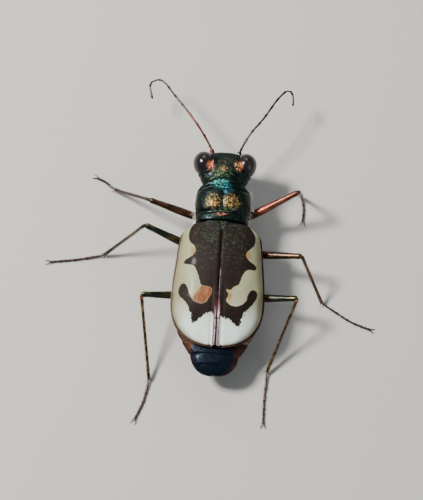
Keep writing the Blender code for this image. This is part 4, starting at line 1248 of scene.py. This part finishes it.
def makeBellyMaterial():
    # Brown horn, clear and orange at its sides, with darker plates under the middle
    material, tree, sockets = newMaterial("brown_belly", 0.34, 0.15, coat=0.15)
    place = objectPlace(tree)
    broad = grainField(tree, place, 0.8, 4.0)
    streak = grainField(tree, stretched(tree, place, (0.4, 1.5, 1.0)), 0.2, 3.0)
    colour = mixColour(tree, softStep(tree, broad, 0.35, 0.65), (0.048, 0.016, 0.007), (0.10, 0.038, 0.013))
    colour = mixColour(tree, softStep(tree, streak, 0.45, 0.75), colour, (0.028, 0.010, 0.007))
    middle = useGroup(tree, patch, place=place, centre=inFrame((0, 7.0, 1.6)), inverseSize=(480, 200, 700),
                      ragged=0.5)
    colour = mixColour(tree, product(tree, middle["mask"], 0.9), colour, (0.018, 0.030, 0.024))
    cells = useGroup(tree, granules, place=place, scale=1 / (0.12 * millimetre))
    gloss = wornGloss(tree, place, broad, 0.22, 0.36, 0.15)
    finishSurface(tree, sockets, colour, gloss, total(tree, cells["height"], streak), 0.012, 0.6)
    return material


tipValues = {
    "stations": ((8.30, 1.90, 2.60, 2.30, 2.00), (8.45, 2.50, 2.84, 2.35, 1.80),
                 (8.95, 2.47, 2.90, 2.35, 1.70), (9.40, 2.16, 2.88, 2.30, 1.66),
                 (9.90, 1.84, 2.82, 2.26, 1.66), (10.40, 1.66, 2.73, 2.22, 1.68),
                 (10.85, 1.42, 2.60, 2.18, 1.75), (11.20, 0.98, 2.42, 2.13, 1.86),
                 (11.36, 0.50, 2.28, 2.12, 1.98)),
    "seams": (9.75, 10.55), "step": 0.06,
}


def tipRelief(place, y, across, up):
    values = tipValues
    height = 0.0
    for seam in values["seams"]:
        height += values["step"] * ramp(y, seam - 0.75, seam - 0.02) * (1 - ramp(y, seam - 0.02, seam + 0.03))
    margin = 0.04 * bump(abs(across) - 0.88, 0.05) * max(up, 0)
    outward = Vector((across, 0, up)).normalized()
    return place + outward * (height - margin + rough(place, 0.35, 0.03))


def makeTip():
    piece = barrel("tip", tipValues["stations"], 72, 72, 2.2, tipRelief)
    material, tree, sockets = newMaterial("abdomen_tip_blue", 0.4, 0.5, coat=0.04, specular=0.14)
    place = objectPlace(tree)
    cells = useGroup(tree, granules, place=place, scale=1 / (0.1 * millimetre))
    broad = grainField(tree, place, 0.6, 4.0)
    edge = mixColour(tree, softStep(tree, broad, 0.4, 0.65), (0.024, 0.007, 0.004), (0.052, 0.018, 0.008))
    blue = mixColour(tree, cells["chance"], (0.0015, 0.003, 0.008), (0.003, 0.009, 0.018))
    middle = useGroup(tree, patch, place=place, centre=inFrame((0.15, 9.9, 2.8)), inverseSize=(560, 420, 900),
                      ragged=0.4)
    colour = mixColour(tree, softStep(tree, middle["mask"], 0.0, 0.45), edge, blue)
    gloss = wornGloss(tree, place, broad, 0.3, 0.46, 0.15)
    finishSurface(tree, sockets, colour, gloss, cells["height"], 0.014, 0.6)
    return settle(piece, "abdomenTip", material, ["abdomen_tip"])


thoraxPatches = [((side * 2.6, 3.6, 2.4), (1.2, 1.2, 0.9), "copper", "gold", 0.35) for side in (1, -1)]
thoraxPatches.insert(0, ((0, 1.0, 3.0), (6.0, 1.2, 2.0), "green", "lime", 0.3))
makeTrunk("thoraxBody", trunkValues["thoraxSeams"], makeJewel("thorax_jewel", thoraxPatches, grain=0.11),
          "thorax", trunkValues["peduncle"])
makeTrunk("abdomenBody", trunkValues["abdomenSeams"], makeBellyMaterial(), "abdomen")
makeTip()
print("thorax and abdomen done")


# Hairs

hairValues = {
    "radius": 0.014, "bristleRadius": 0.012, "softRadius": 0.009, "patchSize": 0.003,
    "white": ((0.55, 0.50, 0.42), (0.86, 0.84, 0.78)), "dark": ((0.05, 0.03, 0.02), (0.20, 0.14, 0.10)),
    "pale": ((0.45, 0.40, 0.34), (0.80, 0.77, 0.70)),
}


def makeHairMaterial(name, root, tip):
    material, tree, sockets = newMaterial(name, 0.35, 0.0, coat=0.2)
    along = readAttribute(tree, "alongHair")
    place = objectPlace(tree)
    tone = mixColour(tree, softStep(tree, along, 0.0, 0.7), root, tip)
    tone = mixColour(tree, spread(tree, grainField(tree, place, 0.25, 2.0), 0.0, 0.35), tone, root)
    tree.links.new(tone, sockets["Base Color"])
    tree.links.new(spread(tree, along, 0.45, 0.3), sockets["Roughness"])
    return material


def hairShape():
    # One straight hair on the Z axis, a unit long and a unit thick at its root
    hair = turned("hairShape", [(0.0, 1.0), (0.35, 0.85), (0.7, 0.55), (1.0, 0.12)], 4)
    points = np.array([v.co for v in hair.data.vertices])
    faces = [tuple(face.vertices) for face in hair.data.polygons]
    discard(hair)
    return points, faces


def plantHairs(name, roots, material):
    # Roots are (place, direction, bend, length, radius, u, v); all hairs become one mesh
    shape, faces = hairShape()
    allPoints = []
    allFaces = []
    heights = []
    patches = []
    for place, direction, bend, length, radius, u, v in roots:
        direction = direction.normalized()
        side = direction.cross(bend).normalized()
        over = side.cross(direction)
        start = len(allPoints)
        for x, y, z in shape:
            curve = bend * (0.5 * length * z * z)
            spot = place + side * (x * radius) + over * (y * radius) + direction * (z * length) + curve
            allPoints.append(spot)
            heights.append(z)
            patches.append((u + hairValues["patchSize"] * (0.5 * x), v + hairValues["patchSize"] * (z - 0.5)))
        allFaces += [tuple(start + index for index in face) for face in faces]
    mesh = bpy.data.meshes.new(name)
    mesh.from_pydata(allPoints, [], allFaces)
    mesh.update()
    piece = bpy.data.objects.new(name, mesh)
    bpy.context.scene.collection.objects.link(piece)
    storeField(piece, "alongHair", heights)
    layer = mesh.uv_layers.new(name="OFBake")
    for loop in mesh.loops:
        layer.data[loop.index].uv = patches[loop.vertex_index]
    return settle(piece, name, material)


def scatter(piece, count, rule, seed):
    # Even random roots on a settled piece, in drawing millimetres, where the rule allows them
    random = np.random.default_rng(seed)
    back = toFrame.inverted()
    faces = [face for face in piece.data.polygons if rule(back @ face.center, face.normal)]
    areas = np.array([face.area for face in faces])
    picks = random.choice(len(faces), size=count, p=areas / areas.sum())
    roots = []
    for pick in picks:
        face = faces[pick]
        corners = [back @ piece.data.vertices[i].co for i in face.vertices]
        weights = random.dirichlet([1.0] * len(corners))
        place = sum((corner * weight for corner, weight in zip(corners, weights)), Vector())
        roots.append((place, face.normal.copy(), random.random(3)))
    return roots


def bodyUnwrap(place):
    # The skin unrolled round the body's length
    turn = math.atan2(place.x, place.z - 3.0) / (2 * math.pi) + 0.5
    return 0.02 + 0.96 * turn, 0.02 + 0.96 * (place.y + 6.2) / 17.8


def makeBodyHairs():
    jobs = [("prothoraxShell", 300, lambda p, n: n.z < 0.2 and 2.3 < p.z < 3.85 and abs(p.x) > 1.0, 0.45, 11),
            ("thoraxBody", 560, lambda p, n: p.z < 3.05 and abs(p.x) > 1.2, 0.5, 12),
            ("abdomenBody", 200, lambda p, n: p.z < 2.5 and abs(p.x) > 1.7, 0.28, 13),
            ("headCapsule", 60, lambda p, n: p.z < 3.1 and p.y > -5.0, 0.3, 14)]
    for pair in ("Front", "Mid", "Hind"):
        for sideName in ("Left", "Right"):
            jobs.append(("coxa" + pair + sideName, 50, lambda p, n: n.z < 0.5, 0.42, 20 + len(jobs)))
    hairs = []
    for pieceName, count, rule, length, seed in jobs:
        for place, normal, chance in scatter(bpy.data.objects[pieceName], count, rule, seed):
            lean = Vector((0, 0.8, -0.35)) + Vector(chance - 0.5) * 0.7
            direction = normal * 0.75 + lean * 0.7
            bend = Vector((0, 0.35, -0.45))
            u, v = bodyUnwrap(place)
            size = length * (0.6 + 0.7 * chance[1])
            hairs.append((place - normal * 0.02, direction, bend, size, hairValues["radius"], u, v))
    material = makeHairMaterial("white_hair", *hairValues["white"])
    plantHairs("bodyHairs", hairs, material)


def makeLegHairs():
    # Rows of stiff bristles down each shank and foot, and softer pale hairs under each thigh
    random = np.random.default_rng(5)
    bristles = []
    soft = []
    for row, leg in enumerate(legs):
        hip, knee, ankle, bend, toe = legJoints(leg)
        for start, end, radius, count, length, kind in ((hip.lerp(knee, 0.14), knee, 0.25, 60, 0.34, soft),
                                                        (knee, ankle, 0.10, 84, 0.30, bristles),
                                                        (ankle, bend, 0.07, 30, 0.16, bristles),
                                                        (bend, toe, 0.07, 30, 0.16, bristles)):
            along = (end - start).normalized()
            side = along.cross(Vector((0, 0, 1))).normalized()
            over = side.cross(along)
            for index in range(count):
                share = (index + 0.5 * random.random()) / count
                lane = index % 6
                turn = math.pi * 2 * lane / 6 + 0.3 * random.random()
                if kind is soft:
                    turn = math.pi * (1.15 + 0.7 * random.random())
                outward = side * math.cos(turn) + over * math.sin(turn)
                place = start.lerp(end, 0.04 + 0.9 * share) + outward * radius * 0.85
                if place.z < 0.12 and outward.z < 0.2:
                    outward.z = 0.2
                direction = outward * 0.55 + along * 0.85 + Vector((0, 0, 0.02))
                size = length * (0.7 + 0.5 * random.random())
                u = 0.05 + 0.9 * (row + turn / (2 * math.pi)) / 6
                v = 0.05 + 0.9 * share
                thick = hairValues["bristleRadius" if kind is bristles else "softRadius"]
                kind.append((place, direction, along * 0.3 + Vector((0, 0, 0.05)), size, thick, u, v))
    plantHairs("legBristles", bristles, makeHairMaterial("dark_bristle", *hairValues["dark"]))
    plantHairs("legHairs", soft, makeHairMaterial("pale_hair", *hairValues["pale"]))


makeBodyHairs()
makeLegHairs()
print("hairs done")


# Stage: floor, lights and camera

stageValues = {
    "floorSize": 0.6, "floorColour": (0.46, 0.45, 0.425), "skyColour": (0.80, 0.86, 0.92),
    "skyStrength": 0.30, "tiltFromVertical": 18.0, "roll": 3.23, "pixelsPerMillimetre": 13.2,
    "frameHeight": 500, "distance": 0.2, "target": (0.6675, 1.8561, 3.5), "sensorWidth": 36,
}

# Place, power, size and colour of each lamp, in metres and watts
lamps = {
    "key": ((0.135, -0.035, 0.185), 1.15, 0.045, (1.0, 0.97, 0.92)),
    "fill": ((-0.2, 0.12, 0.14), 0.14, 0.2, (0.9, 0.95, 1.0)),
    "back": ((0.02, -0.2, 0.16), 0.16, 0.14, (1, 1, 1)),
}


def makeFloor():
    floor = startFrom(bpy.ops.mesh.primitive_plane_add, "floor", size=stageValues["floorSize"])
    material, tree, sockets = newMaterial("pale_floor", 0.75)
    speckle = grainField(tree, objectPlace(tree), 6.0, 3.0)
    pale = stageValues["floorColour"]
    tree.links.new(mixColour(tree, spread(tree, speckle, 0.0, 0.2), pale, tuple(c * 0.92 for c in pale)),
                   sockets["Base Color"])
    floor.data.materials.append(material)


def makeLight(name, place, power, size, colour):
    lamp = bpy.data.lights.new(name, "AREA")
    lamp.energy = power
    lamp.size = size
    lamp.color = colour
    item = bpy.data.objects.new(name, lamp)
    item.location = place
    aim = Vector((0, 0, 0.003)) - Vector(place)
    item.rotation_euler = aim.to_track_quat("-Z", "Y").to_euler()
    bpy.context.scene.collection.objects.link(item)


def makeSky():
    world = bpy.data.worlds.new("studio")
    world.use_nodes = True
    background = world.node_tree.nodes["Background"]
    background.inputs["Color"].default_value = (*stageValues["skyColour"], 1)
    background.inputs["Strength"].default_value = stageValues["skyStrength"]
    bpy.context.scene.world = world


def makeCamera():
    values = stageValues
    tilt = math.radians(values["tiltFromVertical"])
    roll = math.radians(values["roll"])
    forward = Vector((0, -math.sin(tilt), -math.cos(tilt)))
    levelUp = Vector((0, -math.cos(tilt), math.sin(tilt)))
    levelRight = Vector((-1, 0, 0))
    right = levelRight * math.cos(roll) + levelUp * math.sin(roll)
    up = -levelRight * math.sin(roll) + levelUp * math.cos(roll)
    target = toFrame @ Vector(values["target"])
    camera = bpy.data.cameras.new("camera")
    item = bpy.data.objects.new("camera", camera)
    spot = target - forward * values["distance"]
    item.matrix_world = Matrix.Translation(spot) @ Matrix((right, up, -forward)).transposed().to_4x4()
    camera.sensor_width = values["sensorWidth"]
    camera.clip_start = 0.001
    frameSize = values["frameHeight"] / values["pixelsPerMillimetre"] * millimetre
    camera.lens = values["sensorWidth"] * values["distance"] / frameSize
    bpy.context.scene.collection.objects.link(item)
    bpy.context.scene.camera = item


makeFloor()
makeSky()
for lampName, lamp in lamps.items():
    makeLight(lampName, *lamp)
makeCamera()
print("stage done")
